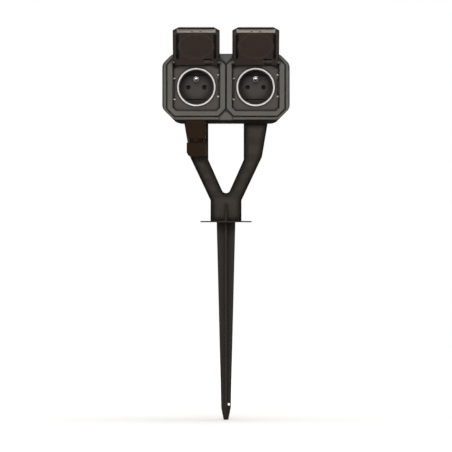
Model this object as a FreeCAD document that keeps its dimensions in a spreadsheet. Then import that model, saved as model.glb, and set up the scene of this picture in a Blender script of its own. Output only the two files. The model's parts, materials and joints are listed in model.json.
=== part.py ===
import FreeCAD, Part
import Sketcher
import math
import os
import re

# Garden socket spike: two pin-earth sockets under hinged lids, in a splashproof head
# that a Y-shaped fork carries on a cruciform ground spike.
# Millimetres. X is to the right seen from the front, Z is up, the front faces -Y.
# The origin is the centre of the ground flange's underside.
# "Forward" sizes below are distances in front of the spike's axis, that is -Y.

doc = FreeCAD.newDocument("garden_socket_spike")
sheet = doc.addObject("Spreadsheet::Sheet", "sizes")

sizes = {
    # How far a cut runs past a face, or a piece's feature into the one it joins
    "overrun": 1.0,
    # What a screw's pilot hole is deeper than the screw
    "pilot_spare": 1.0,
    # Gap in a fit that takes no play
    "fit_gap": 0.05,
    # Places of the sockets
    "socket_pitch": 71.0,
    "socket_height": 161.8,
    # Front cover: outline of its front band and of its seam
    "band_half_width": 75.0,
    "band_bottom": "=socket_height - 38.9",
    "band_top": "=socket_height + 39.8",
    "band_low_cut": 12.0,
    "band_high_cut": 11.5,
    "seam_spread": 1.4,
    "seam_bottom": "=socket_height - 43.3",
    "seam_top": "=socket_height + 40.2",
    "seam_low_cut": 17.9,
    "seam_high_cut": 12.3,
    "corner_round": 10.0,
    "cover_wall": 2.6,
    "cover_front_wall": 3.0,
    "band_front": 28.4,
    "bezel_front": 30.0,
    "seam_front": 16.0,
    # Octagonal frame round each socket
    "frame_half_width": 35.15,
    "frame_bottom": "=socket_height - 35",
    "frame_top": "=socket_height + 35.5",
    "frame_cut": 8.9,
    "frame_bevel": 0.7,
    "groove_width": 0.9,
    "groove_depth": 0.8,
    "valley_depth": 1.5,
    "valley_half_width": 8.4,
    "valley_inset": 1.35,
    # Recess that takes the insert and the closed lid
    "recess_half_width": 28.45,
    "recess_bottom": "=socket_height - 28.7",
    "recess_top": "=socket_height + 33.4",
    "recess_cut": 4.2,
    "recess_wall": 2.0,
    "ledge_front": 20.8,
    "ledge_thickness": 2.0,
    "ledge_half_width": 25.2,
    "ledge_bottom": "=socket_height - 25.2",
    "ledge_top": "=socket_height + 23.2",
    # Rear housing
    "housing_back": 24.0,
    "housing_wall": 3.2,
    "back_wall": 2.6,
    "back_inset": 2.0,
    "gasket_width": 1.4,
    "gasket_inset": 1.3,
    "gasket_depth": 1.2,
    # Screws that hold the cover
    "cover_screw_radius": 1.5,
    "cover_screw_clearance": 0.2,
    "cover_boss_radius": 4.0,
    "screw_side_place": 68.4,
    "screw_low_place": "=socket_height - 23.8",
    "screw_high_place": "=socket_height + 25.7",
    "screw_bottom_place": "=socket_height - 32.6",
    "screw_top_place": "=socket_height + 32.8",
    "screw_head_radius": 3.0,
    "screw_head_height": 2.0,
    "counterbore_radius": 3.4,
    "counterbore_depth": 2.4,
    "cover_screw_grip": 6.5,
    # Socket insert, measured from the socket's own axis
    "plate_front": 24.0,
    "plate_thickness": 3.2,
    "plate_side_gap": 1.25,
    "plate_bottom_gap": 0.35,
    "plate_top": 25.4,
    "plate_high_cut_x": 7.2,
    "plate_high_cut_z": 4.2,
    "plate_low_cut": 2.6,
    "latch_height": 2.4,
    "latch_gap": 0.15,
    "latch_left_high": 10.4,
    "latch_left_low": -14.8,
    "latch_right_high": 14.6,
    "latch_right_low": -11.2,
    "latch_thickness": 1.8,
    "latch_drop": 0.4,
    "notch_depth": 1.9,
    "notch_right_high": 9.5,
    "notch_right_low": -9.0,
    # Plug well, a sleeve and a floor behind the insert's plate
    "well_radius": 19.6,
    "well_wall": 2.2,
    "well_rim_width": 3.4,
    "well_rim_thickness": 1.6,
    "well_floor_front": 9.5,
    "well_floor_thickness": 4.0,
    "well_step": 14.2,
    "well_step_depth": 3.0,
    "well_step_margin": 0.3,
    "contact_spacing": 19.0,
    "contact_hole_radius": 2.6,
    # Collar round the well
    "collar_inner_radius": 20.6,
    "collar_outer_radius": 23.5,
    "collar_front": 26.0,
    "collar_seat_depth": 1.2,
    "collar_bevel": 0.7,
    # Earth pin
    "earth_pin_radius": 2.4,
    "earth_pin_rise": 10.0,
    "earth_pin_length": 14.0,
    "earth_pin_nose": 1.5,
    "earth_pin_root_radius": 3.0,
    "earth_pin_neck_radius": 2.6,
    "earth_pin_neck_height": 0.3,
    "earth_pin_shoulder_radius": 2.05,
    "earth_pin_tip_radius": 1.1,
    "earth_pin_tip_height": 0.6,
    # Contact carrier, shutter and its spring
    "carrier_radius": 20.5,
    "carrier_back": 14.0,
    "carrier_pin_clearance": 0.1,
    "contact_bore_clearance": 0.1,
    "bay_half_width": 13.0,
    "bay_depth": 3.8,
    "shutter_clearance": 0.4,
    "shutter_half_height": 3.2,
    "shutter_travel": 6.2,
    "shutter_ramp": 2.0,
    "spring_length": 13.6,
    "shutter_spring_radius": 1.7,
    "shutter_spring_bore": 1.0,
    # Contacts and bus bars
    "contact_radius": 3.4,
    "contact_bore_radius": 2.45,
    "contact_front": 1.1,
    "bar_thickness": 1.2,
    "bar_height": 3.2,
    "lug_half_width": 3.0,
    "line_bar_bottom": "=socket_height + 3.5",
    "neutral_bar_bottom": "=socket_height - 8.8",
    "earth_bar_bottom": "=socket_height + 8",
    "earth_bar_height": 4.0,
    "earth_bar_front": -19.0,
    "tail_width": 3.0,
    "neutral_tail_left": -8.0,
    "line_tail_left": 31.0,
    "line_foot_left": 5.0,
    "line_run_bottom": "=socket_height - 14.2",
    # Terminal block
    "block_half_width": 12.0,
    "block_bottom": "=socket_height - 26.6",
    "block_top": "=socket_height - 14.8",
    "block_front": -10.0,
    "terminal_spacing": 6.5,
    "wire_hole_radius": 1.9,
    "terminal_screw_radius": 1.3,
    "terminal_head_radius": 2.2,
    "terminal_head_height": 1.4,
    # Lid and its hinge; the hinge axis is the lid's own origin
    "hinge_front": 31.5,
    "hinge_height": "=socket_height + 29.6",
    "lid_open_angle": 136.0,
    "pin_radius": 1.5,
    "pin_running_clearance": 0.06,
    "pin_half_length": 27.6,
    "ear_inner": 24.9,
    "ear_radius": 3.5,
    "lid_half_width": 28.0,
    "lid_length": 55.8,
    "lid_shoulder": 8.0,
    "lip_corner_width": 7.5,
    "lip_corner_length": 5.3,
    "lid_face": 1.7,
    "lid_plate": 2.2,
    "lid_bevel": 0.6,
    "skirt_end": 54.1,
    "skirt_step": 0.6,
    "skirt_corner": 4.6,
    "skirt_taper": 1.8,
    "lid_rim_edge": -5.1,
    "lid_wall": 2.0,
    "tongue_half_width": 24.5,
    "pad_half_width": 20.5,
    "pad_thickness": 4.4,
    "pad_end_margin": 1.0,
    "barrel_radius": 3.4,
    "window_left": 9.4,
    "window_right": 19.2,
    "window_length": 10.0,
    "rim_notch_side": 5.1,
    "rim_notch_width": 2.2,
    "rim_notch_height": 1.8,
    "seal_inner_radius": 17.4,
    "seal_outer_radius": 21.7,
    "seal_landing_gap": 0.2,
    "seal_seat_clearance": 0.1,
    # Lid spring
    "wire_radius": 0.5,
    "coil_radius": 2.25,
    "coil_gap": 0.6,
    "coil_turns": 5,
    "spring_leg": 13.0,
    "spring_gap": 0.1,
    # Fork
    "fork_depth": 24.0,
    "fork_front_wall": 2.6,
    "fork_wall": 2.6,
    "fork_slant_wall": 2.9,
    "fork_rib": 2.4,
    "fork_edge_round": 3.0,
    "stem_half_width": 18.55,
    "stem_top": 26.3,
    "knee_half_width": 43.2,
    "knee_height": 78.6,
    "leg_outer": 50.0,
    "leg_inner": 21.3,
    "inner_knee": 75.1,
    "crotch_apex": 27.5,
    "crotch_radius": 5.2,
    "stem_cell_margin": 1.0,
    "crotch_cell_shift": 0.65,
    "leg_cap": 3.0,
    "fork_screw_radius": 1.5,
    "fork_screw_spread": 7.0,
    "fork_screw_reach": 9.0,
    "fork_boss_radius": 3.8,
    "fork_boss_height": 11.0,
    # Flange, gusset and spike
    "flange_radius": 30.8,
    "flange_thickness": 1.5,
    "gusset_thickness": 2.4,
    "gusset_height": 21.5,
    "gusset_foot": 15.0,
    "gusset_edge": 1.0,
    "spike_half_width": 11.25,
    "spike_tip_half_width": 5.7,
    "spike_shoulder": 223.0,
    "spike_end": 237.2,
    "spike_end_half_width": 2.9,
    "fin_thickness": 2.4,
    "peg_hole_radius": 1.5,
    "peg_hole_side": 3.5,
    "peg_hole_depth": 218.7,
    "tenon_half_width": 9.5,
    "tenon_half_depth": 8.0,
    "tenon_height": 24.0,
    "tenon_clearance": 0.2,
    "tenon_boss_radius": 4.0,
    "tenon_screw_height": 15.0,
    "bridge_half_height": 5.0,
    "bridge_thickness": 2.6,
    "spike_screw_grip": 9.0,
    # Cable entry in front of the left leg
    "gland_gap": 0.2,
    "gland_front": 27.5,
    "gland_bottom": 100.2,
    "gland_top_half_width": 13.2,
    "gland_bottom_half_width": 11.3,
    "gland_edge_round": 1.6,
    "neck_radius": 6.8,
    "neck_bottom": 95.4,
    "clamp_half_width": 11.6,
    "clamp_front": 28.8,
    "clamp_bottom": 78.6,
    "clamp_left_corner_height": 4.6,
    "clamp_left_corner_width": 3.7,
    "clamp_right_corner": 1.4,
    "cable_bore_radius": 4.8,
    "cable_axis_front": 20.5,
    "seal_pocket_radius": 6.8,
    "seal_pocket_depth": 7.9,
    "cable_seal_radius": 4.6,
    "clamp_screw_radius": 1.3,
    "clamp_screw_clearance": 0.2,
    "clamp_screw_side": 8.2,
    "clamp_screw_back": 4.4,
    "clamp_screw_reach": 6.0,
    "clamp_head_radius": 2.2,
    "clamp_head_height": 1.6,
    "clamp_counterbore_radius": 2.5,
    "clamp_counterbore_depth": 3.0,
}

for row, (name, size) in enumerate(sizes.items(), start=1):
    sheet.set("A%d" % row, name)
    sheet.set("B%d" % row, str(size))
    sheet.setAlias("B%d" % row, name)
doc.recompute()

nodes = []
word = re.compile(r"[a-z][a-z_]*")


def bound(text):
    """The same formula with every size named as a cell of the sheet."""
    return word.sub(lambda found: ("sizes." if found.group() in sizes else "") + found.group(), text)


def number(text):
    return float(sheet.evalExpression(bound(text)))


def start(label, x="0", forward="0", z="0"):
    """A new piece with its own origin at x, forward, z."""
    piece = doc.addObject("PartDesign::Body", label)
    piece.Label = label
    place(piece, x, forward, z)
    nodes.append(piece)
    return piece


def place(piece, x="0", forward="0", z="0"):
    for axis, text in (("x", x), ("y", "-1 * (%s)" % forward), ("z", z)):
        piece.setExpression("Placement.Base." + axis, bound(text))


def draw(piece, name, role, offset, *loops):
    """A sketch on one of the piece's origin planes, moved by offset along the plane's normal.

    A loop is a list of corners, or ("circle", x, y, radius). On the XZ plane the offset is forward.
    """
    sketch = piece.newObject("Sketcher::SketchObject", piece.Name + "_" + name)
    plane = [item for item in piece.Origin.OriginFeatures if item.Role == role][0]
    sketch.AttachmentSupport = [(plane, "")]
    sketch.MapMode = "FlatFace"
    sketch.setExpression("AttachmentOffset.Base.z", bound(offset))
    for loop in loops:
        if loop[0] == "circle":
            draw_circle(sketch, *loop[1:])
        else:
            draw_corners(sketch, loop)
    return sketch


def fix(sketch, kind, edge, point, text):
    index = sketch.addConstraint(Sketcher.Constraint(kind, -1, 1, edge, point, number(text)))
    sketch.setExpression("Constraints[%d]" % index, bound(text))


def draw_circle(sketch, x, y, radius):
    centre = FreeCAD.Vector(number(x), number(y), 0)
    edge = sketch.addGeometry(Part.Circle(centre, FreeCAD.Vector(0, 0, 1), number(radius)), False)
    fix(sketch, "DistanceX", edge, 3, x)
    fix(sketch, "DistanceY", edge, 3, y)
    index = sketch.addConstraint(Sketcher.Constraint("Radius", edge, number(radius)))
    sketch.setExpression("Constraints[%d]" % index, bound(radius))


def draw_corners(sketch, corners):
    points = [FreeCAD.Vector(number(x), number(y), 0) for x, y in corners]
    count = len(points)
    first = sketch.GeometryCount
    for index in range(count):
        sketch.addGeometry(Part.LineSegment(points[index], points[(index + 1) % count]), False)
    for index in range(count):
        following = first + (index + 1) % count
        sketch.addConstraint(Sketcher.Constraint("Coincident", first + index, 2, following, 1))
    for index, (x, y) in enumerate(corners):
        fix(sketch, "DistanceX", first + index, 1, x)
        fix(sketch, "DistanceY", first + index, 1, y)


def feature(piece, kind, name, sketch, **settings):
    """One PartDesign feature on a sketch; a text setting is bound to the sheet."""
    made = piece.newObject("PartDesign::" + kind, piece.Name + "_" + name)
    made.Profile = sketch
    for key, setting in settings.items():
        if isinstance(setting, str) and key != "Type":
            made.setExpression(key, bound(setting))
        else:
            setattr(made, key, setting)
    return made


def pad(piece, name, sketch, length, **settings):
    return feature(piece, "Pad", name, sketch, Length=length, **settings)


def pocket(piece, name, sketch, length, **settings):
    """Cuts against the sketch plane's normal, or along it with Reversed, and has to remove material."""
    doc.recompute()
    before = piece.Shape.Volume
    made = feature(piece, "Pocket", name, sketch, Length=length, **settings)
    doc.recompute()
    if not piece.Shape.Volume < before:
        raise ValueError(made.Name + " cuts nothing")
    return made


def loft(piece, kind, name, first, second):
    made = piece.newObject("PartDesign::" + kind, piece.Name + "_" + name)
    made.Profile = first
    made.Sections = [second]
    made.Ruled = True
    return made


def soften(piece, kind, name, size, chosen):
    """A fillet or chamfer on the edges of the last feature that the test picks."""
    doc.recompute()
    tip = piece.Tip
    names = ["Edge%d" % index for index, edge in enumerate(tip.Shape.Edges, start=1) if chosen(edge)]
    made = piece.newObject("PartDesign::" + kind, piece.Name + "_" + name)
    made.Base = (tip, names)
    made.setExpression("Radius" if kind == "Fillet" else "Size", bound(size))
    return made


def edge_at_forward(forward):
    """True for an edge that lies in the plane at this forward distance."""
    where = -number(forward)
    return lambda edge: max(abs(edge.BoundBox.YMin - where), abs(edge.BoundBox.YMax - where)) < 1e-4


def edge_along_depth(depth):
    """True for an edge that spans this depth from front to back."""
    span = number(depth)
    return lambda edge: abs(edge.BoundBox.YLength - span) < 1e-4


def box(left, right, low, high):
    return [(left, low), (right, low), (right, high), (left, high)]


def octagon(middle, half, low, high, low_cut, high_cut, inset="0"):
    """Corners of a box with cut corners, drawn in by inset on all sides."""
    trim = "(%s) * (2 - sqrt(2))" % inset
    left, right = "%s - %s + %s" % (middle, half, inset), "%s + %s - %s" % (middle, half, inset)
    bottom, top = "%s + %s" % (low, inset), "%s - %s" % (high, inset)
    low_cut, high_cut = "(%s - %s)" % (low_cut, trim), "(%s - %s)" % (high_cut, trim)
    return [
        ("%s + %s" % (left, low_cut), bottom),
        ("%s - %s" % (right, low_cut), bottom),
        (right, "%s + %s" % (bottom, low_cut)),
        (right, "%s - %s" % (top, high_cut)),
        ("%s - %s" % (right, high_cut), top),
        ("%s + %s" % (left, high_cut), top),
        (left, "%s - %s" % (top, high_cut)),
        (left, "%s + %s" % (bottom, low_cut)),
    ]


sides = {"left": "(-socket_pitch / 2)", "right": "(socket_pitch / 2)"}
cover_screw_places = [
    ("-screw_side_place", "screw_low_place"),
    ("screw_side_place", "screw_low_place"),
    ("-screw_side_place", "screw_high_place"),
    ("screw_side_place", "screw_high_place"),
    ("0", "screw_bottom_place"),
    ("0", "screw_top_place"),
]
fork_screw_places = [
    "%d * (leg_inner + leg_outer) / 2 + %d * fork_screw_spread" % (leg, step)
    for leg in (-1, 1) for step in (-1, 1)
]


def band_outline(inset="0"):
    return octagon("0", "band_half_width", "band_bottom", "band_top", "band_low_cut", "band_high_cut", inset)


def seam_outline(inset="0"):
    half = "(band_half_width + seam_spread)"
    return octagon("0", half, "seam_bottom", "seam_top", "seam_low_cut", "seam_high_cut", inset)


def back_outline(inset="0"):
    """The housing draws in towards its back, but its underside stays level to seat on the fork."""
    half, top = "(band_half_width + seam_spread - back_inset)", "(seam_top - back_inset)"
    return octagon("0", half, "seam_bottom", top, "seam_low_cut", "seam_high_cut", inset)


def frame_outline(middle, inset="0"):
    return octagon(middle, "frame_half_width", "frame_bottom", "frame_top", "frame_cut", "frame_cut", inset)


def recess_outline(middle, grow="0"):
    left = "%s - recess_half_width - %s" % (middle, grow)
    right = "%s + recess_half_width + %s" % (middle, grow)
    bottom, top = "recess_bottom - %s" % grow, "recess_top + %s" % grow
    return [
        (left + " + recess_cut", bottom),
        (right + " - recess_cut", bottom),
        (right, bottom + " + recess_cut"),
        (right, top),
        (left, top),
        (left, bottom + " + recess_cut"),
    ]


def make_front_cover():
    cover = start("front_cover")
    inner_front = "(band_front - cover_front_wall)"
    band = draw(cover, "band", "XZ_Plane", "band_front", band_outline())
    seam = draw(cover, "seam", "XZ_Plane", "seam_front", seam_outline())
    loft(cover, "AdditiveLoft", "shell", seam, band)
    soften(cover, "Fillet", "corners", "corner_round", edge_along_depth("band_front - seam_front"))
    hollow_front = draw(cover, "hollow_front", "XZ_Plane", inner_front, band_outline("cover_wall"))
    hollow_seam = draw(cover, "hollow_seam", "XZ_Plane", "seam_front", seam_outline("cover_wall"))
    loft(cover, "SubtractiveLoft", "hollow", hollow_seam, hollow_front)
    for side, middle in sides.items():
        wall = draw(cover, side + "_wall", "XZ_Plane", "ledge_front - ledge_thickness",
                    recess_outline(middle, "recess_wall"))
        pad(cover, side + "_wall_pad", wall, "band_front - ledge_front + ledge_thickness")
        frame = draw(cover, side + "_frame", "XZ_Plane", inner_front, frame_outline(middle))
        pad(cover, side + "_frame_pad", frame, "bezel_front - %s" % inner_front)
    soften(cover, "Chamfer", "frame_bevels", "frame_bevel", edge_at_forward("bezel_front"))
    for side, middle in sides.items():
        groove = draw(cover, side + "_groove", "XZ_Plane", "band_front",
                      frame_outline(middle, "-groove_width"), frame_outline(middle))
        pocket(cover, side + "_groove_cut", groove, "groove_depth")
        recess = draw(cover, side + "_recess", "XZ_Plane", "bezel_front", recess_outline(middle))
        pocket(cover, side + "_recess_cut", recess, "bezel_front - ledge_front")
        ledge = draw(cover, side + "_ledge", "XZ_Plane", "ledge_front",
                     box(middle + " - ledge_half_width", middle + " + ledge_half_width",
                         "ledge_bottom", "ledge_top"))
        pocket(cover, side + "_ledge_cut", ledge, "ledge_thickness")
    add_valleys(cover)
    for side, middle in sides.items():
        add_ears(cover, side, middle)
    bosses = draw(cover, "bosses", "XZ_Plane", "seam_front",
                  *[("circle", x, z, "cover_boss_radius") for x, z in cover_screw_places])
    pad(cover, "boss_pads", bosses, "band_front - cover_front_wall / 2 - seam_front")
    pilots = draw(cover, "pilots", "XZ_Plane", "seam_front",
                  *[("circle", x, z, "cover_screw_radius") for x, z in cover_screw_places])
    pocket(cover, "pilot_cuts", pilots, "cover_screw_grip + pilot_spare", Reversed=True)
    entry = draw(cover, "cable_entry", "XY_Plane", "seam_bottom",
                 ("circle", "-socket_pitch / 2", "-cable_axis_front", "cable_bore_radius"))
    pocket(cover, "cable_entry_cut", entry, "recess_bottom - recess_wall - seam_bottom - overrun",
           Reversed=True)


def add_valleys(cover):
    """Shallow V between the two frames at the top and at the bottom."""
    low_shoulder = "frame_bottom + frame_cut - valley_inset"
    high_shoulder = "frame_top - frame_cut + valley_inset"
    low = [
        ("0", low_shoulder),
        ("-valley_half_width", low_shoulder + " - valley_half_width"),
        ("-valley_half_width", "band_bottom - overrun"),
        ("valley_half_width", "band_bottom - overrun"),
        ("valley_half_width", low_shoulder + " - valley_half_width"),
    ]
    high = [
        ("0", high_shoulder),
        ("valley_half_width", high_shoulder + " + valley_half_width"),
        ("valley_half_width", "band_top + overrun"),
        ("-valley_half_width", "band_top + overrun"),
        ("-valley_half_width", high_shoulder + " + valley_half_width"),
    ]
    valleys = draw(cover, "valleys", "XZ_Plane", "band_front", low, high)
    pocket(cover, "valley_cuts", valleys, "valley_depth")


def add_ears(cover, side, middle):
    """Two round-nosed ears on the recess floor, and the blind bores that hold the hinge pin."""
    width = "(recess_half_width - ear_inner)"
    for hand, left in (("a", "%s - recess_half_width" % middle), ("b", "%s + ear_inner" % middle)):
        root = "-(ledge_front - ledge_thickness / 2)"
        block = draw(cover, side + "_ear_" + hand, "YZ_Plane", left,
                     box("-hinge_front", root, "hinge_height - ear_radius", "recess_top"))
        pad(cover, side + "_ear_pad_" + hand, block, width)
        nose = draw(cover, side + "_ear_nose_" + hand, "YZ_Plane", left,
                    ("circle", "-hinge_front", "hinge_height", "ear_radius"))
        pad(cover, side + "_ear_nose_pad_" + hand, nose, width)
    bore = draw(cover, side + "_pin_bore", "YZ_Plane", "%s + pin_half_length" % middle,
                ("circle", "-hinge_front", "hinge_height", "pin_radius + fit_gap"))
    pocket(cover, side + "_pin_bore_cut", bore, "2 * pin_half_length")


def make_rear_housing():
    housing = start("rear_housing")
    seam = draw(housing, "seam", "XZ_Plane", "seam_front", seam_outline())
    back = draw(housing, "back", "XZ_Plane", "-housing_back", back_outline())
    loft(housing, "AdditiveLoft", "shell", seam, back)
    hollow_seam = draw(housing, "hollow_seam", "XZ_Plane", "seam_front", seam_outline("housing_wall"))
    hollow_back = draw(housing, "hollow_back", "XZ_Plane", "back_wall - housing_back",
                       back_outline("housing_wall"))
    loft(housing, "SubtractiveLoft", "hollow", hollow_seam, hollow_back)
    bosses = draw(housing, "bosses", "XZ_Plane", "back_wall / 2 - housing_back",
                  *[("circle", x, z, "cover_boss_radius") for x, z in cover_screw_places])
    pad(housing, "boss_pads", bosses, "seam_front + housing_back - back_wall / 2")
    holes = draw(housing, "holes", "XZ_Plane", "seam_front",
                 *[("circle", x, z, "cover_screw_radius + cover_screw_clearance")
                   for x, z in cover_screw_places])
    pocket(housing, "hole_cuts", holes, "seam_front + housing_back")
    heads = draw(housing, "heads", "XZ_Plane", "-housing_back",
                 *[("circle", x, z, "counterbore_radius") for x, z in cover_screw_places])
    pocket(housing, "head_cuts", heads, "counterbore_depth", Reversed=True)
    gasket = draw(housing, "gasket", "XZ_Plane", "seam_front",
                  seam_outline("gasket_inset"), seam_outline("(gasket_inset + gasket_width)"))
    pocket(housing, "gasket_cut", gasket, "gasket_depth")
    feet = draw(housing, "fork_bosses", "XY_Plane", "seam_bottom + housing_wall / 2",
                *[("circle", x, "0", "fork_boss_radius") for x in fork_screw_places])
    pad(housing, "fork_boss_pads", feet, "fork_boss_height - housing_wall / 2")
    pilots = draw(housing, "fork_pilots", "XY_Plane", "seam_bottom",
                  *[("circle", x, "0", "fork_screw_radius") for x in fork_screw_places])
    pocket(housing, "fork_pilot_cuts", pilots, "fork_screw_reach + pilot_spare", Reversed=True)
    soften(housing, "Fillet", "corners", "corner_round", edge_along_depth("seam_front + housing_back"))


def make_housing_seal():
    seal = start("housing_seal")
    ring = draw(seal, "ring", "XZ_Plane", "seam_front - gasket_depth",
                seam_outline("gasket_inset"), seam_outline("(gasket_inset + gasket_width)"))
    pad(seal, "ring_pad", ring, "gasket_depth")


def make_socket_insert(side, middle):
    insert = start("socket_insert_" + side, middle, "0", "socket_height")
    half = "(recess_half_width - plate_side_gap)"
    bottom = "(recess_bottom + plate_bottom_gap - socket_height)"
    plate_outline = [
        ("-%s + plate_low_cut" % half, bottom),
        ("%s - plate_low_cut" % half, bottom),
        (half, bottom + " + plate_low_cut"),
        (half, "plate_top - plate_high_cut_z"),
        ("%s - plate_high_cut_x" % half, "plate_top"),
        ("-%s + plate_high_cut_x" % half, "plate_top"),
        ("-" + half, "plate_top - plate_high_cut_z"),
        ("-" + half, bottom + " + plate_low_cut"),
    ]
    plate = draw(insert, "plate", "XZ_Plane", "plate_front - plate_thickness", plate_outline)
    pad(insert, "plate_pad", plate, "plate_thickness")
    mouth = draw(insert, "mouth", "XZ_Plane", "plate_front",
                 ("circle", "0", "0", "well_radius + well_wall + fit_gap"))
    pocket(insert, "mouth_cut", mouth, "plate_thickness")
    seat = draw(insert, "collar_seat", "XZ_Plane", "plate_front",
                ("circle", "0", "0", "collar_outer_radius + fit_gap"))
    pocket(insert, "collar_seat_cut", seat, "collar_seat_depth")
    notches = draw(insert, "notches", "XZ_Plane", "plate_front",
                   box("-%s - overrun" % half, "notch_depth - " + half,
                       "latch_left_low + latch_height / 2", "latch_left_high - latch_height / 2"),
                   box(half + " - notch_depth", half + " + overrun", "notch_right_low", "notch_right_high"))
    pocket(insert, "notch_cuts", notches, "plate_thickness")
    outside = "(recess_half_width - latch_gap)"
    left, right = ("-" + outside, "overrun - " + half), (half + " - overrun", outside)
    tabs = [(left, "latch_left_high"), (left, "latch_left_low"),
            (right, "latch_right_high"), (right, "latch_right_low")]
    latches = draw(insert, "latches", "XZ_Plane", "plate_front - latch_drop - latch_thickness",
                   *[box(*ends, centre + " - latch_height / 2", centre + " + latch_height / 2")
                     for ends, centre in tabs])
    pad(insert, "latch_pads", latches, "latch_thickness")


def make_well(side, middle):
    """The sleeve round the plug, with a rim behind the plate."""
    sleeve = start("socket_well_" + side, middle, "0", "socket_height")
    rim_front = "(plate_front - plate_thickness)"
    outside = draw(sleeve, "outside", "XZ_Plane", "well_floor_front",
                   ("circle", "0", "0", "well_radius + well_wall"))
    pad(sleeve, "outside_pad", outside, "plate_front - collar_seat_depth - well_floor_front")
    rim = draw(sleeve, "rim", "XZ_Plane", rim_front + " - well_rim_thickness",
               ("circle", "0", "0", "well_radius + well_rim_width"))
    pad(sleeve, "rim_pad", rim, "well_rim_thickness")
    well = draw(sleeve, "well", "XZ_Plane", "plate_front", ("circle", "0", "0", "well_radius"))
    pocket(sleeve, "well_cut", well, "plate_front - well_floor_front")


def make_floor(side, middle):
    """The well's floor, with the contact holes and a step down at its top and bottom."""
    disc = start("socket_floor_" + side, middle, "0", "socket_height")
    plate = draw(disc, "plate", "XZ_Plane", "well_floor_front - well_floor_thickness",
                 ("circle", "0", "0", "well_radius + well_wall"))
    pad(disc, "plate_pad", plate, "well_floor_thickness")
    holes = draw(disc, "holes", "XZ_Plane", "well_floor_front",
                 ("circle", "-contact_spacing / 2", "0", "contact_hole_radius"),
                 ("circle", "contact_spacing / 2", "0", "contact_hole_radius"),
                 ("circle", "0", "earth_pin_rise", "earth_pin_root_radius + fit_gap"))
    pocket(disc, "hole_cuts", holes, "well_floor_thickness")
    chord = [(half_chord(z), z) for z in ("well_step", "well_step * 5 / 6 + well_radius / 6")]
    for name, hand in (("high_step", ""), ("low_step", "-")):
        corners = [(hand + "1 * " + x, hand + "1 * (%s)" % z) for x, z in chord]
        corners += [("%s-1 * %s" % (hand, x), hand + "1 * (%s)" % z) for x, z in reversed(chord)]
        step = draw(disc, name, "XZ_Plane", "well_floor_front", corners)
        pocket(disc, name + "_cut", step, "well_step_depth")


def half_chord(z):
    """Half the well's width at this height from its middle, less a small margin."""
    return "(sqrt(well_radius ^ 2 - (%s) ^ 2) - well_step_margin)" % z


def make_collar(side, middle):
    collar = start("socket_collar_" + side, middle, "0", "socket_height")
    foot, crown = "collar_seat_depth - plate_front", "-collar_front"
    section = draw(collar, "section", "XY_Plane", "0", [
        ("collar_inner_radius", foot),
        ("collar_outer_radius", foot),
        ("collar_outer_radius", crown + " + collar_bevel"),
        ("collar_outer_radius - collar_bevel", crown),
        ("collar_inner_radius + collar_bevel", crown),
        ("collar_inner_radius", crown + " + collar_bevel"),
    ])
    turned = feature(collar, "Revolution", "ring", section)
    turned.ReferenceAxis = (section, ["V_Axis"])
    turned.Angle = 360


def make_earth_pin(side, middle):
    pin = start("earth_pin_" + side, middle, "0", "socket_height + earth_pin_rise")
    tip = "(-well_floor_front - earth_pin_length)"
    section = draw(pin, "section", "XY_Plane", "0", [
        ("0", "-earth_bar_front"),
        ("0", tip),
        ("earth_pin_tip_radius", tip),
        ("earth_pin_shoulder_radius", tip + " + earth_pin_tip_height"),
        ("earth_pin_radius", tip + " + earth_pin_nose"),
        ("earth_pin_radius", "-well_floor_front - earth_pin_neck_height"),
        ("earth_pin_neck_radius", "-well_floor_front - earth_pin_neck_height"),
        ("earth_pin_neck_radius", "-well_floor_front"),
        ("earth_pin_root_radius", "-well_floor_front"),
        ("earth_pin_root_radius", "-earth_bar_front"),
    ])
    turned = feature(pin, "Revolution", "shaft", section)
    turned.ReferenceAxis = (section, ["V_Axis"])
    turned.Angle = 360


def make_contact_carrier(side, middle):
    carrier = start("contact_carrier_" + side, middle, "0", "socket_height")
    front = "(well_floor_front - well_floor_thickness)"
    drum = draw(carrier, "drum", "XZ_Plane", "-carrier_back", ("circle", "0", "0", "carrier_radius"))
    pad(carrier, "drum_pad", drum, front + " + carrier_back")
    low = "-(shutter_half_height + shutter_travel + shutter_clearance)"
    bay = draw(carrier, "shutter_bay", "XZ_Plane", front,
               box("-bay_half_width", "bay_half_width", low, "shutter_half_height + shutter_clearance"))
    pocket(carrier, "shutter_bay_cut", bay, "bay_depth")
    reach = "(shutter_spring_radius + shutter_clearance)"
    channel = draw(carrier, "spring_channel", "XZ_Plane", front,
                   box("-" + reach, reach, "-shutter_half_height - spring_length", low))
    pocket(carrier, "spring_channel_cut", channel, "bay_depth")
    bores = draw(carrier, "bores", "XZ_Plane", front,
                 ("circle", "-contact_spacing / 2", "0", "contact_radius + contact_bore_clearance"),
                 ("circle", "contact_spacing / 2", "0", "contact_radius + contact_bore_clearance"),
                 ("circle", "0", "earth_pin_rise", "earth_pin_root_radius + carrier_pin_clearance"))
    pocket(carrier, "bore_cuts", bores, front + " + carrier_back")


def make_shutter(side, middle):
    """The blade that closes both contact holes; two pins on its ramps push it down together."""
    shutter = start("shutter_" + side, middle, "0", "socket_height")
    front = "(well_floor_front - well_floor_thickness - shutter_clearance)"
    thickness = "(bay_depth - 2 * shutter_clearance)"
    half = "(bay_half_width - shutter_clearance)"
    blade = draw(shutter, "blade", "XZ_Plane", front + " - " + thickness,
                 box("-" + half, half, "-shutter_half_height", "shutter_half_height"))
    pad(shutter, "blade_pad", blade, thickness)
    top, face = number("shutter_half_height"), -number(front)
    soften(shutter, "Chamfer", "ramp", "shutter_ramp",
           lambda edge: abs(edge.BoundBox.ZMin - top) + abs(edge.BoundBox.YMax - face) < 1e-4)


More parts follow.
